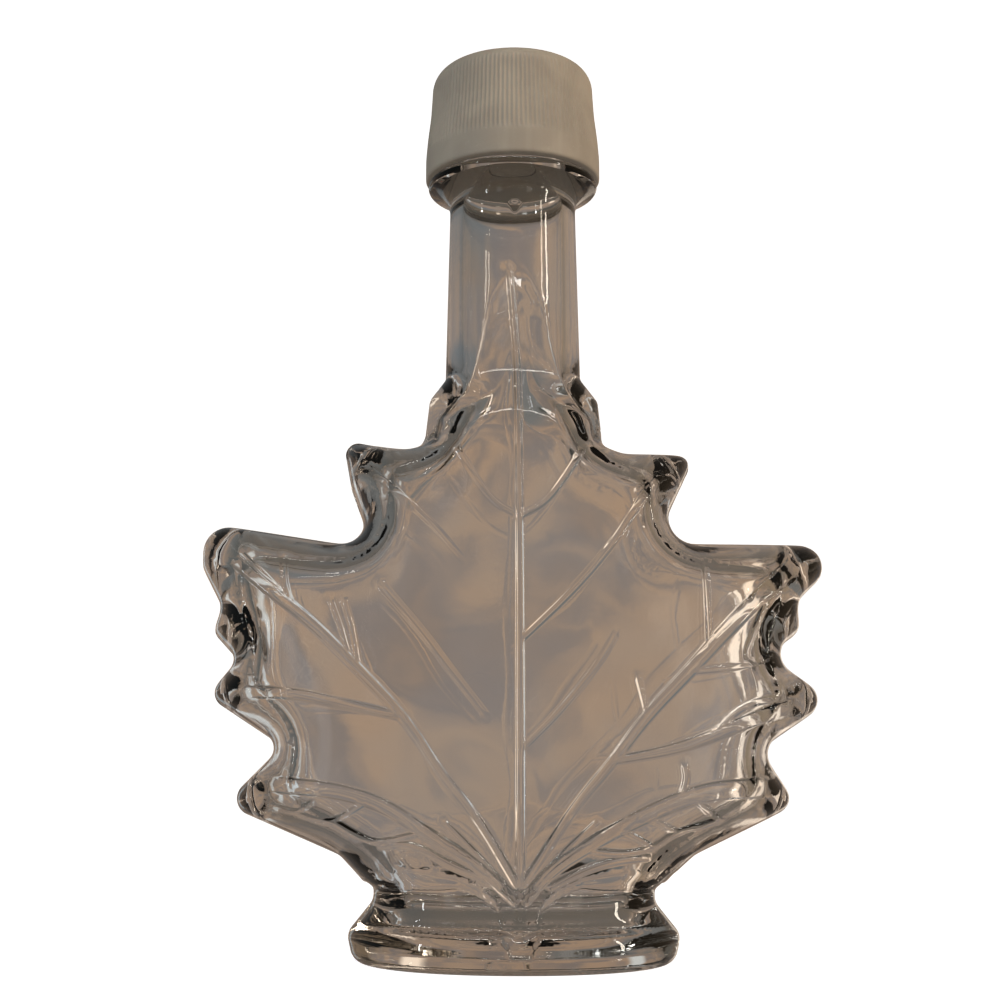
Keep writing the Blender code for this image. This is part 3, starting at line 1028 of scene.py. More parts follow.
@dataclass
class Shell:
    """Loose skins that are joined into one closed mesh."""

    corners: list[Points] = field(default_factory=list)
    faces: list[list[int]] = field(default_factory=list)
    count: int = 0

    def add(self, corners: Points, faces: Iterable[Sequence[int]]) -> None:
        """Adds a skin.

        Args:
            corners: Its corners.
            faces: Its faces, by the corners' numbers.
        """
        self.faces += [[self.count + number for number in face] for face in faces]
        self.corners.append(corners)
        self.count += len(corners)

    def grid(self, rings: Sequence[Points], closed: bool) -> None:
        """Adds the faces between rings that have the same number of corners.

        Args:
            rings: The rings, in order.
            closed: Whether each ring's last corner joins its first.
        """
        wide = len(rings[0])
        last = wide if closed else wide - 1
        starts = [(row * wide, n, (n + 1) % wide) for row in range(len(rings) - 1) for n in range(last)]
        faces = [(row + n, row + after, row + wide + after, row + wide + n) for row, n, after in starts]
        self.add(np.concatenate(rings), faces)

    def build(self, name: str) -> bpy.types.Object:
        """Joins the skins.

        Args:
            name: The object's name.

        Returns:
            The object, with smooth shading.
        """
        data = bpy.data.meshes.new(name)
        data.from_pydata((np.concatenate(self.corners) * MM).tolist(), [], self.faces)
        mesh = bmesh.new()
        mesh.from_mesh(data)
        bmesh.ops.remove_doubles(mesh, verts=mesh.verts, dist=2.0 * SAME_POINT * MM)
        bmesh.ops.dissolve_degenerate(mesh, edges=mesh.edges, dist=SAME_POINT * MM)
        bmesh.ops.recalc_face_normals(mesh, faces=mesh.faces)
        mesh.to_mesh(data)
        open_edges = sum(1 for edge in mesh.edges if len(edge.link_faces) != 2)
        mesh.free()
        if open_edges:
            log.warning("%s has %d edges without two faces", name, open_edges)
        data.shade_smooth()
        thing = bpy.data.objects.new(name, data)
        bpy.context.scene.collection.objects.link(thing)
        return thing


# Corners of the leaf from its crown down, as across, height, radius, and whether the hollow follows them
RIGHT_CORNERS = (
    (12.0, 100.1, 2.0, False),
    (15.1, 96.2, 1.7, False),
    (16.1, 86.7, 3.6, True),
    (32.5, 87.0, 2.2, True),
    (24.8, 70.9, 3.7, True),
    (54.1, 71.0, 4.2, True),
    (54.1, 65.2, 3.0, False),
    (48.9, 60.3, 2.6, False),
    (49.8, 55.6, 1.8, False),
    (43.9, 51.3, 2.3, True),
    (55.4, 43.9, 3.4, True),
    (42.0, 35.3, 2.2, True),
    (48.6, 26.2, 2.8, True),
    (30.3, 17.6, 1.7, True),
)
LEFT_CORNERS = (
    (12.0, 100.1, 2.0, False),
    (14.8, 96.4, 1.7, False),
    (15.9, 86.8, 3.4, True),
    (30.1, 89.2, 2.2, True),
    (28.4, 80.1, 3.4, False),
    (24.5, 69.6, 3.4, True),
    (54.1, 74.2, 4.6, True),
    (54.1, 66.2, 3.0, False),
    (50.4, 59.1, 2.8, False),
    (52.0, 55.1, 2.1, False),
    (47.5, 50.2, 1.7, True),
    (52.8, 44.2, 2.6, True),
    (39.7, 35.7, 2.2, True),
    (49.3, 25.9, 2.9, True),
    (29.5, 17.5, 1.7, True),
)
# Corners of the foot as across, height and radius
FOOT_CORNERS = (
    (25.6, 13.35, 1.3),
    (23.7, 12.6, 1.3),
    (23.7, 10.2, 3.0),
    (28.1, 4.8, 2.6),
    (27.0, 0.0, 2.6),
)
# Veins as path, half-width at both ends, rise, and strength at both ends
MIDRIB = Vein(
    ((0.0, 9.0), (0.0, 35.0), (0.0, 75.0), (0.0, 95.0), (-0.4, 104.0), (-1.2, 116.5)),
    0.7,
    0.42,
    0.5,
)
SIDE_VEINS = (
    Vein(
        (
            (46.4, 66.0),
            (36.2, 57.0),
            (27.8, 48.2),
            (20.3, 40.6),
            (15.0, 33.5),
            (9.3, 27.0),
            (4.6, 20.0),
            (0.6, 14.0),
        ),
        1.3,
        0.5,
        0.5,
    ),
    Vein(((23.6, 80.5), (19.1, 74.5), (15.6, 69.1), (9.0, 61.2), (0.6, 53.2)), 0.6, 0.45, 0.4, (0.3, 1.0)),
    Vein(((15.5, 53.8), (13.0, 49.5), (6.5, 41.4), (0.6, 35.6)), 0.5, 0.45, 0.4, (0.4, 0.8)),
    Vein(((45.0, 42.2), (38.5, 40.4), (30.7, 37.3), (24.5, 35.2), (15.0, 33.5)), 1.2, 0.5, 0.5),
    Vein(
        ((39.2, 29.1), (32.1, 28.9), (25.7, 27.3), (18.3, 24.0), (11.6, 20.5), (5.0, 16.4), (0.8, 11.5)),
        1.5,
        0.8,
        0.6,
    ),
    Vein(((10.6, 84.7), (7.4, 79.7), (4.3, 75.5), (0.6, 73.5)), 0.5, 0.35, 0.3),
    Vein(
        (
            (-47.0, 66.0),
            (-41.7, 61.5),
            (-34.3, 56.0),
            (-27.3, 49.2),
            (-18.5, 40.3),
            (-12.7, 31.3),
            (-7.0, 24.7),
            (-0.6, 14.0),
        ),
        0.9,
        0.55,
        0.5,
    ),
    Vein(((-26.1, 82.9), (-22.5, 79.3), (-15.3, 73.0), (-9.5, 66.3)), 0.6, 0.4, 0.36, (1.0, 0.1)),
    Vein(((-22.4, 61.4), (-15.9, 54.0), (-11.6, 48.2), (-6.0, 41.2)), 0.6, 0.45, 0.38, (1.0, 0.5)),
    Vein(((-44.4, 44.3), (-36.1, 44.0), (-28.7, 42.4), (-18.5, 40.3)), 0.9, 0.5, 0.45),
    Vein(
        ((-38.9, 29.4), (-29.5, 28.6), (-21.8, 26.4), (-14.7, 21.7), (-7.8, 17.8), (-0.8, 11.5)),
        1.2,
        0.8,
        0.6,
    ),
    Vein(((-10.2, 84.7), (-7.2, 79.7), (-4.2, 75.5), (-0.6, 73.5)), 0.45, 0.35, 0.15),
)
VEINLETS = (
    Vein(((31.0, 65.0), (31.0, 59.3), (31.0, 52.4)), 0.45, 0.4, 0.3),
    Vein(((40.6, 58.6), (38.6, 54.4), (36.9, 50.3), (38.7, 49.3)), 0.4, 0.4, 0.32),
    Vein(((27.5, 47.9), (31.4, 48.2), (36.9, 48.8), (41.0, 50.3)), 0.5, 0.4, 0.3),
    Vein(((19.2, 46.4), (20.0, 42.9), (20.4, 40.9)), 0.4, 0.3, 0.3),
    Vein(((17.1, 36.6), (15.4, 33.9)), 0.45, 0.4, 0.3),
    Vein(((26.6, 32.4), (26.9, 30.6), (25.9, 27.9)), 0.5, 0.4, 0.32),
    Vein(((42.0, 43.6), (36.5, 42.6), (31.5, 38.0)), 0.5, 0.4, 0.3),
    Vein(((34.6, 40.9), (33.9, 38.9)), 0.4, 0.3, 0.25),
    Vein(((10.7, 19.4), (16.5, 18.6), (21.6, 19.6), (25.1, 22.2), (32.5, 23.9)), 0.45, 0.4, 0.35),
    Vein(((32.5, 23.9), (29.5, 26.4), (27.1, 28.0)), 0.5, 0.4, 0.35),
    Vein(((25.1, 22.2), (21.4, 24.1), (18.6, 24.6)), 0.45, 0.35, 0.3),
    Vein(((21.6, 19.6), (17.0, 22.3), (14.0, 21.9)), 0.45, 0.35, 0.3),
    Vein(((-38.9, 66.6), (-38.6, 62.4), (-37.4, 58.8)), 0.45, 0.4, 0.3),
    Vein(((-45.8, 67.0), (-42.5, 63.8), (-39.3, 60.9)), 0.4, 0.35, 0.28),
    Vein(((-30.6, 58.6), (-29.2, 55.0), (-28.0, 51.0)), 0.4, 0.35, 0.28),
    Vein(((-28.6, 58.8), (-27.2, 54.5), (-26.3, 49.3)), 0.4, 0.35, 0.28),
    Vein(((-42.4, 27.0), (-38.6, 25.4), (-35.7, 24.9), (-33.6, 26.5)), 0.4, 0.35, 0.34),
    Vein(((-35.4, 24.7), (-31.5, 23.4), (-29.6, 23.7), (-25.2, 26.4)), 0.4, 0.35, 0.34),
    Vein(((-29.6, 23.5), (-26.0, 21.4), (-22.8, 20.2), (-16.2, 21.9)), 0.45, 0.35, 0.36),
    Vein(((-22.0, 20.0), (-16.8, 20.2), (-10.5, 16.6), (-5.0, 14.8)), 0.5, 0.5, 0.34),
    Vein(((20.6, 18.2), (14.5, 17.6), (9.4, 15.9), (5.0, 13.6)), 0.5, 0.5, 0.34),
    Vein(((-12.0, 23.4), (-7.6, 19.2), (-2.6, 14.0)), 0.5, 0.45, 0.3),
    Vein(((12.0, 23.4), (7.6, 19.4), (2.6, 14.2)), 0.5, 0.45, 0.3),
)


@dataclass(frozen=True)
class Unevenness:
    """How far a skin of blown or pressed glass is from even: its height and its shortest and longest wave."""

    height: float
    seed: int
    lengths: Pair

    def over(self, points: Points, half: Half) -> Points:
        """The waves of one half of the mould at each point, from about -1 to 1."""
        return waves(points, self.seed + half.value, *self.lengths)


@dataclass(frozen=True)
class Knot:
    """A small round drop of glass that stands up from the front of the neck."""

    place: Pair
    spread: Pair
    rise: float

    def height(self, x: Points, z: Points) -> Points:
        """How far the knot stands up at each point."""
        across, up = x - self.place[0], z - self.place[1]
        return self.rise * np.exp(-(across**2 / self.spread[0] + up**2 / self.spread[1]))


@dataclass(frozen=True)
class OvalMark:
    """A faint raised oval with a dot in it, at the leaf's lower left."""

    place: Pair = (-17.0, 17.4)
    size: Pair = (3.2, 1.45)
    tilt: float = -0.24
    ring_rise: float = 0.16
    ring_width: float = 0.22
    dot_rise: float = 0.12
    dot_width: float = 0.35

    def height(self, x: Points, z: Points) -> Points:
        """How far the mark stands up at each point.

        Args:
            x: How far across each point is.
            z: How high each point is.

        Returns:
            The heights.
        """
        across, up = x - self.place[0], z - self.place[1]
        along = (across * math.cos(self.tilt) + up * math.sin(self.tilt)) / self.size[0]
        beside = (up * math.cos(self.tilt) - across * math.sin(self.tilt)) / self.size[1]
        away = np.hypot(along, beside)
        ring = self.ring_rise * np.exp(-(((away - 1.0) / self.ring_width) ** 2))
        return ring + self.dot_rise * np.exp(-((away / self.dot_width) ** 2))


@dataclass(frozen=True)
class Crease:
    """The groove round the front of the foot, which dips at the stem."""

    height: float = 7.0
    depth: float = 0.7
    width: float = 0.38
    dip: float = 0.9
    dip_width: float = 2.6
    ends: Pair = (19.0, 22.5)

    def relief(self, x: Points, z: Points) -> Points:
        """What the crease adds to the height of the foot.

        Args:
            x: How far across each point is.
            z: How high each point is.

        Returns:
            The change at each point, less than 0 in the groove.
        """
        above = z - self.height + self.dip * np.exp(-((x / self.dip_width) ** 2))
        return -self.depth * np.exp(-((above / self.width) ** 2)) * (1.0 - smooth_step(np.abs(x), *self.ends))


@dataclass(frozen=True)
class Pocket:
    """The hollow under the stem's end, which narrows towards its foot."""

    depth: float = 0.75
    top: float = 6.6
    half_width: float = 3.4
    narrowing: float = 0.42
    edge: float = 0.5
    foot_rise: Pair = (2.6, 3.3)
    top_fall: Pair = (5.6, 6.5)

    def relief(self, x: Points, z: Points) -> Points:
        """What the pocket adds to the height of the foot.

        Args:
            x: How far across each point is.
            z: How high each point is.

        Returns:
            The change at each point, less than 0 in the pocket.
        """
        reach = self.half_width - (self.top - z) * self.narrowing
        deep = smooth_step(reach - np.abs(x), 0.0, self.edge)
        return -self.depth * deep * smooth_step(z, *self.foot_rise) * (1.0 - smooth_step(z, *self.top_fall))


@dataclass(frozen=True)
class Patch:
    """A part of the skin that gets points of its own, with their step and the least gap between them."""

    half_width: float
    tall: Pair
    step: float
    gap: float


@dataclass
class GlassBottle:
    """The glass: leaf, foot and neck in one hollow shell, open at its mouth."""

    # Neck, bead and mouth
    neck_radius: float = 11.35
    bore_radius: float = 9.0
    finish_radius: float = 12.6
    bead_radius: float = 15.3
    neck_join: float = 130.5
    bead_foot: float = 132.8
    bead_top: float = 136.9
    mouth_height: float = 156.2
    lip_round: float = 0.7
    flare_reach: float = 2.6
    flare_drop: float = 1.4
    flare_height: float = 3.6
    flare_power: float = 2.2
    bead_round: float = 0.75
    bead_turn: float = 0.3
    bead_edge: Pair = (0.3, 0.4)
    finish_fillet: float = 0.3
    bore_start: float = 1.5
    bore_rings: int = 22
    neck_sides: int = 64
    # Foot and waist, with depths as depth and height
    foot_depths: tuple[Pair, ...] = (
        (17.6, 0.0),
        (19.1, 0.8),
        (20.0, 2.6),
        (19.9, 4.4),
        (18.9, 6.1),
        (17.2, 6.9),
        (16.3, 10.0),
        (15.9, 14.0),
    )
    foot_blur: float = 0.45
    foot_roundness: float = 2.1
    waist_roundness: float = 2.6
    waist_start: float = 4.4
    waist_height: float = 13.0
    foot_top: float = 14.35
    # Face and rim of the leaf
    face_depth: float = 19.0
    face_middle: float = 45.0
    side_fall: float = 4.5
    top_fall: float = 6.9
    top_span: float = 73.0
    top_curve: float = 1.6
    bottom_fall: float = 2.0
    bottom_span: float = 30.0
    rim_width: float = 5.5
    rim_reach: float = 0.65
    rim_roundness: float = 2.2
    rim_share: float = 0.93
    # Small relief of the leaf
    edge_bead: float = 0.2
    edge_bead_width: float = 0.38
    edge_bead_shift: float = 0.25
    edge_bead_rise: Pair = (13.0, 17.0)
    edge_bead_fall: Pair = (88.0, 94.0)
    face_waves: Unevenness = Unevenness(0.08, 11, (9.0, 26.0))
    face_waves_rise: Pair = (3.0, 9.0)
    crinkle: Unevenness = Unevenness(0.05, 5, (1.6, 4.0))
    crinkle_across: Pair = (36.0, 44.0)
    crinkle_rise: Pair = (1.0, 3.5)
    crinkle_fall: Pair = (6.0, 9.0)
    vein_rise: Pair = (2.0, 6.1)
    vein_tip: float = 2.0
    back_relief: float = 0.15
    face_width: float = 16.0
    seam_width: float = 0.12
    seam_height: float = 0.22
    # Lower edge of the leaf over the foot, as across and height
    lower_edge: tuple[Pair, ...] = (
        (2.6, 7.2),
        (3.6, 10.3),
        (6.0, 12.4),
        (10.0, 14.1),
        (17.0, 14.6),
        (24.0, 13.5),
        (60.0, 13.5),
    )
    edge_softness: tuple[Pair, Pair] = ((9.0, 19.0), (0.55, 2.2))
    stem_rise: float = 0.9
    stem_foot: float = 15.0
    stem_limit: float = 45.5
    # Pointed arch on the neck, as half-width and height at its foot and on its top
    arch: tuple[Pair, ...] = (
        (13.5, 92.0),
        (9.6, 95.5),
        (7.6, 98.5),
        (5.8, 104.5),
        (4.4, 112.0),
        (0.8, 118.5),
    )
    arch_top: tuple[Pair, ...] = (
        (11.5, 91.0),
        (6.5, 93.2),
        (3.4, 95.6),
        (2.4, 98.4),
        (1.4, 104.0),
        (0.3, 114.0),
    )
    arch_blur: float = 1.2
    arch_steepness: float = 1.5
    arch_tip: float = 6.0
    arch_rise: float = 0.7
    arch_swell: Pair = (94.0, 104.0)
    # Crown, where the leaf meets the neck
    crown_blend: float = 0.8
    crown_low: float = 93.0
    crown_high: float = 100.2
    crown_rise: Pair = (84.0, 91.0)
    crown_hiding: Pair = (85.0, 91.0)
    crown_width_low: float = 90.0
    crown_depth_low: float = 103.2
    # Hollow, with depths as depth and height
    side_wall: float = 2.6
    face_wall: float = 2.7
    floor_height: float = 5.0
    floor_half_width: float = 21.5
    waist_half_width: float = 20.2
    floor_round: float = 4.0
    tooth_round: float = 2.5
    shoulder_round: float = 12.0
    shoulder_height: float = 103.0
    crown_half_width: float = 11.0
    hollow_rim: float = 6.5
    hollow_blur: int = 10
    hollow_depths: tuple[Pair, ...] = ((12.4, 4.0), (12.9, 12.0), (13.6, 18.0), (16.6, 30.0), (30.0, 60.0))
    hollow_depth_blur: float = 2.0
    hollow_crown: Pair = (88.5, 101.0)
    hollow_waves: Unevenness = Unevenness(0.22, 31, (14.0, 40.0))
    hollow_waves_rise: Pair = (1.5, 8.0)
    # Points of the outer skin and of the hollow
    softness: float = 3.0
    hollow_softness: float = 4.0
    outline_step: float = 0.8
    foot_step: float = 0.4
    hollow_coarseness: float = 1.5
    ridge_step: float = 1.0
    vein_step: float = 0.6
    vein_gap: float = 0.09
    fill_steps: Pair = (1.6, 1.1)
    fill_gap: float = 0.6
    fill_width: float = 56.0
    fill_reach: Pair = (13.2, 102.0)
    leaf_reach: Pair = (13.4, 101.0)
    neck_start: float = 101.3
    foot_end: float = 14.0
    row_insets: tuple[float, ...] = (0.12, 0.2, 0.4, 0.75, 1.3, 2.0, 2.9)
    row_gap: float = 0.07
    edge_rows: tuple[float, ...] = (-1.1, -0.6, -0.25, 0.0, 0.25, 0.7)
    edge_row_gap: float = 0.24
    edge_gap: float = 0.006
    patches: tuple[Patch, ...] = (
        Patch(5.0, (2.0, 8.0), 0.35, 0.2),
        Patch(22.0, (12.5, 20.0), 0.5, 0.3),
        Patch(8.0, (7.5, 12.5), 0.45, 0.25),
        Patch(15.5, (88.0, 101.5), 0.5, 0.3),
    )
    hollow_step: float = 1.0
    hollow_width: float = 50.0
    hollow_fill_low: float = 5.2
    hollow_insets: tuple[float, ...] = (0.12, 0.3, 0.6, 1.0, 1.6, 2.3, 3.1, 4.0)
    hollow_row_gap: float = 0.1
    # Base, as share of its size and height
    base_rings: tuple[Pair, ...] = (
        (1.0, 0.0),
        (0.8, 0.0),
        (0.79, 0.04),
        (0.75, 0.5),
        (0.7, 0.8),
        (0.6, 0.95),
        (0.35, 1.0),
        (0.0, 1.0),
    )
    # Small forms and finish
    veins: tuple[Vein, ...] = (MIDRIB, *SIDE_VEINS, *VEINLETS)
    knots: tuple[Knot, ...] = (
        Knot((-1.7, 117.6), (0.9, 0.9), 0.55),
        Knot((-0.3, 129.0), (0.2, 0.3), 0.45),
    )
    crease: Crease = Crease()
    pocket: Pocket = Pocket()
    mark: OvalMark = OvalMark()
    finish: SmokyGlass = SmokyGlass()

    def outer_outline(self) -> Outline:
        """The bottle's outline.

        Returns:
            The outline, from the neck down to the base.
        """
        sides = []
        for side, corners in zip(Side, (RIGHT_CORNERS, LEFT_CORNERS)):
            leaf = [corner[:3] for corner in corners]
            chain = [(self.neck_radius, self.neck_join, 0.0), *leaf, *FOOT_CORNERS, (0.0, 0.0, 0.0)]
            line = rounded(chain, self.outline_step)
            line = line[: int(np.argmax(line[:, 1] < SAME_POINT)) + 1]
            leaf_end = int(np.argmax(line[:, 1] < self.waist_height))
            line = np.concatenate([line[:leaf_end], divided(line[leaf_end:], self.foot_step)])
            sides.append(line * (side.value, 1))
        return Outline(*sides)

    def hollow_outline(self) -> Outline:
        """The hollow's outline.

        Returns:
            The outline, from the bore down to the middle of its floor.
        """
        sides = []
        for side, corners in zip(Side, (RIGHT_CORNERS, LEFT_CORNERS)):
            followed = [corner[:3] for corner in corners if corner[3]]
            leaf = self._moved_in([corners[0][:3], *followed, FOOT_CORNERS[1]])
            chain = [
                (self.bore_radius, self.neck_join, 0.0),
                (self.bore_radius, self.shoulder_height, self.shoulder_round),
                (self.crown_half_width, self.crown_low, self.tooth_round),
                *leaf,
                (self.waist_half_width, self.waist_height, self.floor_round),
                (self.floor_half_width, self.floor_height, self.floor_round),
                (0.0, self.floor_height, 0.0),
            ]
            line = blurred(rounded(chain, self.outline_step * self.hollow_coarseness), self.hollow_blur)
            sides.append(line * (side.value, 1))
        return Outline(*sides)

    def _moved_in(self, corners: Sequence[Sequence[float]]) -> list[Triple]:
        """Moves a chain of corners inward by the wall, and rounds it as blown glass is.

        Args:
            corners: The chain, of which the first and last only give a direction.

        Returns:
            The moved corners.
        """
        places = [np.array(corner[:2], float) for corner in corners]
        moved = []
        for before, corner, after, radius in zip(places, places[1:], places[2:], [c[2] for c in corners[1:]]):
            first = (corner - before) / np.linalg.norm(corner - before)
            second = (after - corner) / np.linalg.norm(after - corner)
            normals = [np.array((-d[1], d[0])) for d in (first, second)]
            across = (normals[0] + normals[1]) / (1 + normals[0] @ normals[1])
            notch = first[0] * second[1] - first[1] * second[0] > 0
            place = corner - across * self.side_wall
            moved.append((place[0], place[1], radius + self.side_wall if notch else self.tooth_round))
        return moved

    def depth_of_face(self, points: Points) -> Points:
        """How far the leaf's face stands from the mould line, away from its rim.

        Args:
            points: Points of the X-Z plane.

        Returns:
            The depth at each point.
        """
        x, z = np.abs(points[:, 0]), points[:, 1]
        widest = max(corner[0] for corner in RIGHT_CORNERS)
        above = np.clip(z - self.face_middle, 0.0, None) / self.top_span
        below = np.clip(self.face_middle - z, 0.0, None) / self.bottom_span
        fall = self.side_fall * (x / widest) ** 2 + self.top_fall * above**self.top_curve
        return self.face_depth - fall - self.bottom_fall * below**2

    def rim_profile(self, inset: Points, width: float, reach: float) -> Points:
        """The rim's rounding, from 0 on the mould line to 1 at its inner edge.

        Args:
            inset: How far inside the outline each point lies.
            width: The rim's width.
            reach: How much of the quarter round the rim takes.

        Returns:
            The share of the face's depth.
        """
        power = self.rim_roundness
        share = np.clip(inset / width, 0.0, 1.0)
        top = (1.0 - (1.0 - reach) ** power) ** (1.0 / power)
        return (1.0 - (1.0 - reach * share) ** power) ** (1.0 / power) / top

    def outer_height(self, points: Points, outline: Outline, soft: Points, half: Half) -> Points:
        """How far the glass stands from the mould line.

        Args:
            points: Points of the X-Z plane.
            outline: The bottle's outline.
            soft: Each point's soft distance from the outline.
            half: Which half of the mould.

        Returns:
            The heights.
        """
        inset = outline.inset(points)
        height = self._leaf_height(points, inset, soft, half)
        height = self._with_foot(points, outline, height)
        height = self._with_crown(points, outline, height)
        height += self._relief(points, soft, half)
        return np.where(inset < SAME_POINT, 0.0, height)

    def _leaf_height(self, points: Points, inset: Points, soft: Points, half: Half) -> Points:
        """The leaf without its veins: the rim's rounding, the face and the seam.

        Args:
            points: Points of the X-Z plane.
            inset: How far inside the outline each point lies.
            soft: Each point's soft distance from the outline.
            half: Which half of the mould.

        Returns:
            The heights.
        """
        body = np.clip(soft - self.seam_width, 0.0, None)
        across_face = np.clip((soft - self.rim_width) / (self.face_width - self.rim_width), 0.0, 1.0)
        rim = self.rim_share * self.rim_profile(body, self.rim_width, self.rim_reach)
        share = rim + (1 - self.rim_share) * (1.0 - (1.0 - across_face) ** 2)
        seam = self.seam_height * np.clip(inset / self.seam_width, 0.0, 1.0)
        leaf = np.maximum(self.depth_of_face(points) * share, seam)
        waviness = self.face_waves.height * self.face_waves.over(points, half)
        return leaf + waviness * smooth_step(inset, *self.face_waves_rise)

    def _with_foot(self, points: Points, outline: Outline, leaf: Points) -> Points:
        """The leaf joined to the foot below it, with the stem that runs down over it.

        Args:
            points: Points of the X-Z plane.
            outline: The bottle's outline.
            leaf: The leaf's height at each point.

        Returns:
            The heights.
        """
        x, z = np.abs(points[:, 0]), points[:, 1]
        width = outline.half_width(points, 0.0, self.foot_top)
        powers = (self.foot_roundness, self.waist_roundness)
        roundness = np.interp(z, (self.waist_start, self.waist_height), powers)
        foot = oval(x, width, softened(self.foot_depths, z, self.foot_blur), roundness)
        stem_width, stem_end = self.lower_edge[2]
        stem = foot + self.stem_rise * (1.0 - smooth_step(z, stem_end, self.stem_foot))
        by_stem = (x < stem_width) & (z < self.stem_limit)
        panel = np.where(by_stem, np.maximum(leaf, stem), leaf)
        edge = np.interp(x, *zip(*self.lower_edge))
        soft_edge = np.interp(x, *self.edge_softness)
        return foot + (panel - foot) * smooth_step((z - edge) / soft_edge, -1.0, 1.0)

    def _with_crown(self, points: Points, outline: Outline, height: Points) -> Points:
        """The leaf joined to the neck above it, with the pointed arch that runs up on the neck.

        Args:
            points: Points of the X-Z plane.
            outline: The bottle's outline.
            height: The leaf's and the foot's height at each point.

        Returns:
            The heights.
        """
        x, z = np.abs(points[:, 0]), points[:, 1]
        width = outline.half_width(points, self.crown_width_low, self.neck_join)
        depth = outline.half_width(points, self.crown_depth_low, self.neck_join)
        crown = oval(x, width, depth, 2.0) * smooth_step(z, *self.crown_rise)
        arch_foot, arch_top = (softened(rows, z, self.arch_blur) for rows in (self.arch, self.arch_top))
        arch = np.clip((arch_foot - x) / (arch_foot - arch_top), 0.0, 1.0)
        arch *= self.arch_steepness - (self.arch_steepness - 1.0) * arch
        arch *= smooth_step(self.arch[-1][1] - z, 0.0, self.arch_tip)
        hidden = (1.0 - arch) * smooth_step(z, *self.crown_hiding)
        raised = joined(crown, height + self.arch_rise * smooth_step(z, *self.arch_swell), self.crown_blend)
        return crown + (raised - crown) * (1.0 - hidden)

    def _relief(self, points: Points, soft: Points, half: Half) -> Points:
        """The veins, the bead along the rim, the crinkled right lobe, and the small forms on foot and neck.

        Args:
            points: Points of the X-Z plane.
            soft: Each point's soft distance from the outline.
            half: Which half of the mould.

        Returns:
            What they add to the height.
        """
        x, z = points[:, 0], points[:, 1]
        bead = np.exp(-(((soft - self.rim_width + self.edge_bead_shift) / self.edge_bead_width) ** 2))
        bead *= smooth_step(z, *self.edge_bead_rise) * (1.0 - smooth_step(z, *self.edge_bead_fall))
        lobe = smooth_step(x, *self.crinkle_across) * smooth_step(soft, *self.crinkle_rise)
        lobe *= 1.0 - smooth_step(soft, *self.crinkle_fall)
        ridge = np.max([vein.height(points) for vein in self.veins], axis=0)
        ridge *= smooth_step(soft, *self.vein_rise) * smooth_step(self.arch[-1][1] - z, 0.0, self.vein_tip)
        total = self.edge_bead * bead + self.crinkle.height * self.crinkle.over(points, half) * lobe
        total += ridge * (1.0 if half is Half.FRONT else self.back_relief)
        total += self.crease.relief(x, z) + self.pocket.relief(x, z) + self.mark.height(x, z)
        if half is Half.FRONT:
            total += sum(knot.height(x, z) for knot in self.knots)
        return total

    def hollow_height(self, points: Points, outline: Outline, soft: Points, half: Half) -> Points:
        """How far the hollow reaches from the mould line.

        Args:
            points: Points of the X-Z plane.
            outline: The hollow's outline.
            soft: Each point's soft distance from the outline.
            half: Which half of the mould.

        Returns:
            The heights.
        """
        x, z = points[:, 0], points[:, 1]
        inset = outline.inset(points)
        deepest = softened(self.hollow_depths, z, self.hollow_depth_blur)
        depth = np.minimum(self.depth_of_face(points) - self.face_wall, deepest)
        leaf = depth * self.rim_profile(soft, self.hollow_rim, 1.0)
        waviness = self.hollow_waves.height * (1.0 + self.hollow_waves.over(points, half))
        leaf -= waviness * smooth_step(soft, *self.hollow_waves_rise)
        width = outline.half_width(points, self.hollow_crown[0], self.neck_join)
        bore = oval(x, width, width, 2.0)
        height = leaf + (bore - leaf) * smooth_step(z, *self.hollow_crown)
        return np.where(inset < SAME_POINT, 0.0, height)

    def columns(self, radius: float) -> Points:
        """Where the neck's flat sides meet across its front."""
        return radius * np.cos(np.linspace(0.0, math.pi, self.neck_sides + 1))

    def across(self, outline: Outline, heights: dict[Side, Points], low: float, high: float) -> Points:
        """Points across a round part, spaced evenly round its oval.

        Args:
            outline: The outline.
            heights: The rows' heights on each side.
            low: The part's foot.
            high: The part's top.

        Returns:
            The points.
        """
        cosines = self.columns(1.0)[1:-1]
        halves = {Side.RIGHT: cosines[cosines > -SAME_POINT], Side.LEFT: cosines[cosines < -SAME_POINT]}
        pairs = [(cosine, height) for side in Side for height in heights[side] for cosine in halves[side]]
        spots = np.array(pairs)
        return spots * np.stack([outline.half_width(spots, low, high), np.ones(len(spots))], axis=1)

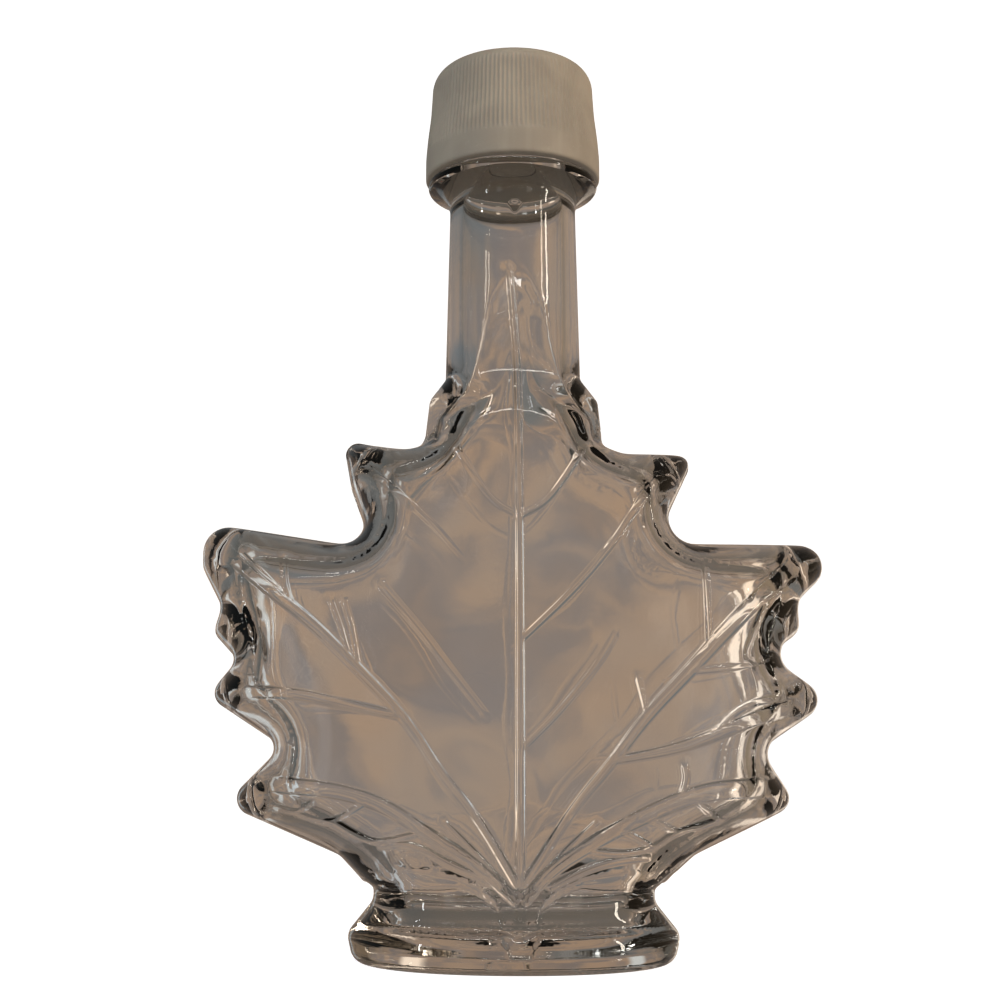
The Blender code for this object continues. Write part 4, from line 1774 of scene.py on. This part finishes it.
    def outer_mesh(self, outline: Outline) -> tuple[Points, list[list[int]], Points]:
        """The outer skin in the X-Z plane.

        Args:
            outline: The bottle's outline.

        Returns:
            Its points, its triangles, and each point's soft distance from the outline.
        """
        columns = self.columns(self.neck_radius)
        top = np.stack([columns, np.full(len(columns), self.neck_join)], axis=1)
        base = self.across(outline, {side: np.zeros(1) for side in Side}, 0.0, self.foot_end)
        base = base[np.argsort(base[:, 0])[::-1]]
        loop = np.concatenate([outline.left[::-1][:-1], top[::-1][:-1], outline.right, base])[::-1]
        closed = np.append(loop, loop[:1], axis=0)
        ridges = [vein.line(self.ridge_step) for vein in self.veins]
        neck_rows = outline.heights(self.neck_start, self.neck_join - SAME_POINT)
        foot_rows = outline.heights(SAME_POINT, self.waist_height)
        rows = self._on_leaf(outline.rows(self.row_insets))
        edge_rows = np.empty((0, 2))
        for step in self.fill_steps:
            cloud = Cloud(np.concatenate([loop, *ridges]))
            cloud.add(self.across(outline, neck_rows, self.crown_high, self.neck_join), self.edge_gap)
            cloud.add(self.across(outline, foot_rows, 0.0, self.foot_end), self.edge_gap)
            cloud.add(rows, self.row_gap)
            if len(edge_rows):
                for vein in self.veins:
                    cloud.add(vein.rows(self.vein_step), self.vein_gap)
                cloud.add(edge_rows, self.edge_row_gap)
            cloud.add(lattice(self.fill_width, self.fill_reach, step), step * self.fill_gap)
            for patch in self.patches:
                cloud.add(lattice(patch.half_width, patch.tall, patch.step), patch.gap)
            extra = cloud.added()
            extra = extra[inside(loop, extra) & (distance_to([closed], extra) > self.edge_gap)]
            points, faces = triangles(loop, ridges, extra)
            skin = PulledSkin(points, faces, outline.inset(points) < SAME_POINT)
            soft = skin.inset(self.softness)
            if not len(edge_rows):
                edge_rows = self._on_leaf(skin.along(soft, self.rim_width + np.array(self.edge_rows)))
        return points, faces, soft

    def _on_leaf(self, points: Points) -> Points:
        """Those of some points that lie on the leaf, between the foot and the neck."""
        low, high = self.leaf_reach
        return points[(points[:, 1] < high) & (points[:, 1] > low)]

    def hollow_mesh(self, outline: Outline) -> tuple[Points, list[list[int]], Points]:
        """The hollow's skin in the X-Z plane.

        Args:
            outline: The hollow's outline.

        Returns:
            Its points, its triangles, and each point's soft distance from the outline.
        """
        columns = self.columns(self.bore_radius)
        top = np.stack([columns, np.full(len(columns), self.neck_join)], axis=1)
        loop = np.concatenate([outline.left[::-1][:-1], top[::-1][:-1], outline.right[:-1]])[::-1]
        cloud = Cloud(loop)
        rows = outline.rows(self.hollow_insets)
        crown = self.hollow_crown[0]
        rows_up = outline.heights(crown, self.neck_join - SAME_POINT)
        cloud.add(self.across(outline, rows_up, crown, self.neck_join), self.edge_gap)
        cloud.add(rows[rows[:, 1] < crown], self.hollow_row_gap)
        fill = lattice(self.hollow_width, (self.hollow_fill_low, crown), self.hollow_step)
        cloud.add(fill, self.hollow_step * self.fill_gap)
        extra = cloud.added()
        closed = np.append(loop, loop[:1], axis=0)
        extra = extra[inside(loop, extra) & (distance_to([closed], extra) > self.edge_gap)]
        points, faces = triangles(loop, [], extra)
        skin = PulledSkin(points, faces, outline.inset(points) < SAME_POINT)
        return points, faces, skin.inset(self.hollow_softness)

    def finish_rings(self) -> list[Pair]:
        """The section of the neck's top: flare, bead, finish, lip and bore.

        Returns:
            Each ring's radius and height, from the neck up over the lip and down the bore.
        """
        turns = np.linspace(0.0, math.pi / 2, 6)
        falls = [(self.lip_round * (1 - math.sin(a)), self.lip_round * (1 - math.cos(a))) for a in turns]
        lip = [(self.finish_radius - far, self.mouth_height - near) for near, far in falls]
        inner_lip = [(self.bore_radius + near, self.mouth_height - far) for near, far in falls]
        shares = np.linspace(0.0, 1.0, 9)
        flare_radii = self.neck_radius + self.flare_reach * shares**self.flare_power
        flare = list(zip(flare_radii, self.bead_foot - self.flare_drop + self.flare_height * shares))
        turns = np.linspace(self.bead_turn, math.pi / 2, 6)
        edge_radii = self.bead_radius - self.bead_round * (1 - np.sin(turns))
        edge = list(zip(edge_radii, self.bead_top - self.bead_round - self.bead_round * np.cos(turns)))
        across, down = self.bead_edge
        bead = [(self.bead_radius, self.bead_top - down), (self.bead_radius - across, self.bead_top)]
        fillet = self.finish_fillet
        walls = [(self.finish_radius + fillet, self.bead_top), (self.finish_radius, self.bead_top + fillet)]
        heights = np.linspace(self.mouth_height - self.bore_start, self.neck_join, self.bore_rings)
        bore = [(self.bore_radius, height) for height in heights]
        return [(self.neck_radius, self.neck_join), *flare, *edge, *bead, *walls, *lip, *inner_lip, *bore]

    def build(self) -> bpy.types.Object:
        """Builds and dresses the glass.

        Returns:
            The bottle.
        """
        shell = Shell()
        outer = self.outer_outline()
        points, faces, soft = self.outer_mesh(outer)
        flat = np.abs(points[:, 1]) < SAME_POINT
        order = np.where(flat)[0][np.argsort(points[flat, 0])]
        rims = []
        for half in Half:
            heights = self.outer_height(points, outer, soft, half)
            skin = np.stack([points[:, 0], half.value * heights, points[:, 1]], axis=1)
            shell.add(skin, faces)
            rims.append(skin[order])
        self._add_base(shell, rims)
        hollow = self.hollow_outline()
        points, faces, soft = self.hollow_mesh(hollow)
        for half in Half:
            heights = self.hollow_height(points, hollow, soft, half)
            shell.add(np.stack([points[:, 0], half.value * heights, points[:, 1]], axis=1), faces)
        sides = 2 * self.neck_sides
        shell.grid([circle(radius, height, sides) for radius, height in self.finish_rings()], True)
        bottle = shell.build("leaf_bottle_glass")
        bottle.data.materials.append(self.finish.make())
        return bottle

    def _add_base(self, shell: Shell, rims: list[Points]) -> None:
        """Closes the bottom with a flat ring to stand on and a shallow recess.

        Args:
            shell: The shell that gets it.
            rims: The front and the back edge of the bottom, from left to right.
        """
        for rim in rims:
            rings = []
            for scale, height in self.base_rings:
                ring = rim * (scale, scale, 0.0)
                ring[:, 2] = height
                rings.append(ring)
            shell.grid(rings, False)


@dataclass
class ScrewCap:
    """The cap: fine ribs round its upper part, a smooth flared skirt, and a round top edge."""

    top: float = 158.1
    rim: float = 137.3
    bore: float = 13.0
    ceiling: float = 156.6
    top_round: float = 3.3
    top_shares: tuple[float, ...] = (0.0, 0.25, 0.5, 0.75, 0.84, 0.88, 0.92, 0.96, 1.0)
    top_dip: float = 0.25
    top_dip_rise: Pair = (0.82, 0.93)
    side: tuple[Pair, ...] = ((14.65, 154.4), (14.95, 149.5), (15.5, 145.0), (15.8, 141.5), (15.8, 138.0))
    side_blur: float = 1.2
    side_foot: float = 0.7
    side_rings: int = 36
    skirt_edge: tuple[Pair, ...] = (
        (15.78, 0.3),
        (15.6, 0.05),
        (15.4, 0.0),
        (13.6, 0.0),
        (13.2, 0.1),
        (13.0, 0.4),
    )
    ceiling_round: float = 0.5
    ceiling_middle: float = 6.0
    ribs: int = 120
    steps_per_rib: int = 6
    rib_depth: float = 0.2
    rib_foot: Pair = (141.7, 142.7)
    rib_head: Pair = (154.9, 156.6)
    groove_share: float = 1.25
    groove_shift: float = 0.1
    sharpest: float = 62.0
    finish: CapPlastic = CapPlastic()

    def section(self) -> list[Pair]:
        """The cap's section.

        Returns:
            Each ring's radius and height, from the middle of the top down the outside and up the bore.
        """
        side_radius, side_top = self.side[0]
        reach = side_radius - self.top_round
        dip = self.top_dip * (1.0 - smooth_step(np.array(self.top_shares), *self.top_dip_rise))
        points = list(zip(reach * np.array(self.top_shares), self.top - dip))
        rise = self.top - side_top
        for angle in np.linspace(0.0, math.pi / 2, 12)[1:-1]:
            points.append((reach + self.top_round * math.sin(angle), side_top + rise * math.cos(angle)))
        heights = np.linspace(side_top, self.rim + self.side_foot, self.side_rings)
        points += list(zip(softened(self.side, heights, self.side_blur), heights))
        points += [(radius, self.rim + above) for radius, above in self.skirt_edge]
        points.append((self.bore, self.ceiling - self.ceiling_round))
        radii = (self.bore - self.ceiling_round, self.ceiling_middle, 0.0)
        points += [(radius, self.ceiling) for radius in radii]
        return [(float(radius), float(height)) for radius, height in points]

    def build(self) -> bpy.types.Object:
        """Builds and dresses the cap.

        Returns:
            The cap.
        """
        count = self.ribs * self.steps_per_rib
        angles = np.linspace(0.0, 2.0 * math.pi, count, endpoint=False)
        wave = 0.5 - 0.5 * np.cos(angles * self.ribs)
        groove = self.rib_depth * np.clip(self.groove_share * wave - self.groove_shift, 0.0, 1.0)
        rings = []
        for radius, height in self.section():
            place = np.array(height)
            share = smooth_step(place, *self.rib_foot) * (1.0 - smooth_step(place, *self.rib_head))
            around = radius - groove * share * (radius > self.bore)
            level = np.full(count, height)
            rings.append(np.stack([around * np.cos(angles), around * np.sin(angles), level], axis=1))
        shell = Shell()
        shell.grid(rings, True)
        cap = shell.build("ribbed_screw_cap")
        cap.data.set_sharp_from_angle(angle=math.radians(self.sharpest))
        cap.data.materials.append(self.finish.make())
        return cap


@dataclass(frozen=True)
class SoftLight:
    """A soft rectangular light, with its place, its aim and its size in metres and its power in watts."""

    name: str
    place: Triple
    aim: Triple
    size: Pair
    power: float
    colour: Triple
    mirrored: bool

    def add(self) -> None:
        """Adds the light, which the glass shows only if it is mirrored."""
        data = bpy.data.lights.new(self.name, "AREA")
        data.shape = "RECTANGLE"
        data.size, data.size_y = self.size
        data.energy = self.power
        data.color = self.colour
        light = bpy.data.objects.new(self.name, data)
        light.location = self.place
        light.visible_glossy = light.visible_transmission = self.mirrored
        light.rotation_euler = (Vector(self.aim) - Vector(self.place)).to_track_quat("-Z", "Y").to_euler()
        bpy.context.scene.collection.objects.link(light)


LIGHTS = (
    SoftLight("left", (-0.8, -0.6, 0.5), (0.0, 0.0, 0.08), (0.5, 0.8), 1.9, (0.76, 0.96, 1.08), False),
    SoftLight("right", (0.7, -0.55, 0.4), (0.0, 0.0, 0.1), (0.5, 0.8), 2.6, (1.0, 0.78, 0.55), False),
    SoftLight("left_strip", (-0.5, -0.42, 0.1), (0.0, 0.0, 0.08), (0.02, 0.3), 0.32, (0.92, 0.97, 1.0), True),
    SoftLight("right_strip", (0.5, -0.3, 0.15), (0.0, 0.0, 0.08), (0.03, 0.4), 0.7, (1.0, 0.9, 0.76), True),
    SoftLight("low", (0.05, -0.4, 0.02), (0.0, 0.0, 0.14), (0.4, 0.06), 0.15, (1.0, 0.9, 0.8), False),
    SoftLight("top_strip", (0.0, -0.28, 0.55), (0.0, 0.0, 0.08), (0.4, 0.03), 0.55, (1.0, 0.96, 0.9), True),
)


@dataclass
class Studio:
    """The camera, the pale floor and the soft lights. The floor's sizes are in metres, angles in degrees."""

    picture: float = 1000.0
    focal_pixels: float = 1570.0
    sensor: float = 36.0
    eye: Triple = (-16.5, -273.0, 33.5)
    pitch: float = 9.4
    yaw: float = 1.5
    roll: float = 0.24
    axis_pixel: float = 512.6
    nearest: float = 0.01
    floor_radii: tuple[float, ...] = (0.0, 0.1, 0.3, 0.6, 1.2)
    floor_bend: float = 1.0
    wall_top: float = 2.6
    floor_sides: int = 96
    bend_rings: int = 24
    paint: PaleSurface = PaleSurface()
    room: DimRoom = DimRoom()
    lights: tuple[SoftLight, ...] = LIGHTS

    def add_camera(self) -> bpy.types.Object:
        """Makes the camera at the photograph's viewing angle.

        Returns:
            The camera.
        """
        data = bpy.data.cameras.new("camera")
        data.sensor_width = self.sensor
        data.lens = self.focal_pixels / self.picture * self.sensor
        camera = bpy.data.objects.new("camera", data)
        camera.location = Vector(self.eye) * MM
        level = math.radians(90.0 + self.pitch)
        camera.rotation_euler = Euler((level, -math.radians(self.roll), -math.radians(self.yaw)), "XYZ")
        away = math.atan2(-self.eye[0], -self.eye[1]) - math.radians(self.yaw)
        seen = self.focal_pixels * math.tan(away)
        data.shift_x = (seen - (self.axis_pixel - self.picture / 2)) / self.picture
        data.clip_start = self.nearest
        bpy.context.scene.collection.objects.link(camera)
        bpy.context.scene.camera = camera
        return camera

    def add_floor(self) -> bpy.types.Object:
        """Makes the floor, a wide round bowl whose wall rises far behind the bottle on every side.

        Returns:
            The floor.
        """
        flat, bend = self.floor_radii[-1], self.floor_bend
        profile = [(radius, 0.0) for radius in self.floor_radii]
        turns = np.linspace(0.0, math.pi / 2, self.bend_rings)[1:]
        profile += [(flat + bend * math.sin(a), bend * (1.0 - math.cos(a))) for a in turns]
        profile.append((flat + bend, self.wall_top))
        shell = Shell()
        shell.grid([circle(radius / MM, height / MM, self.floor_sides) for radius, height in profile], True)
        floor = shell.build("floor")
        floor.data.materials.append(self.paint.make())
        floor.visible_glossy = False
        floor.visible_transmission = False
        floor.visible_diffuse = False
        return floor

    def build(self) -> None:
        """Makes everything round the bottle."""
        self.add_camera()
        self.add_floor()
        bpy.context.scene.world = self.room.make()
        bpy.context.scene.view_settings.view_transform = "Standard"
        for light in self.lights:
            light.add()


def main() -> None:
    """Builds the pieces in order, and reports each."""
    logging.basicConfig(level=logging.INFO, format="%(name)s: %(message)s")
    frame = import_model()
    log.info("frame with nodes %s", ", ".join(sorted(frame["nodes"])))
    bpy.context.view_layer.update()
    Studio().build()
    parts = ((GlassBottle(), "glass_bottle", "glass"), (ScrewCap(), "screw_cap", "cap_plastic"))
    for part, node, slot in parts:
        piece = part.build()
        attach(piece, "root")
        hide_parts(node)
        log.info("%s: %d faces", piece.name, len(piece.data.polygons))


if __name__ == "__main__":
    main()
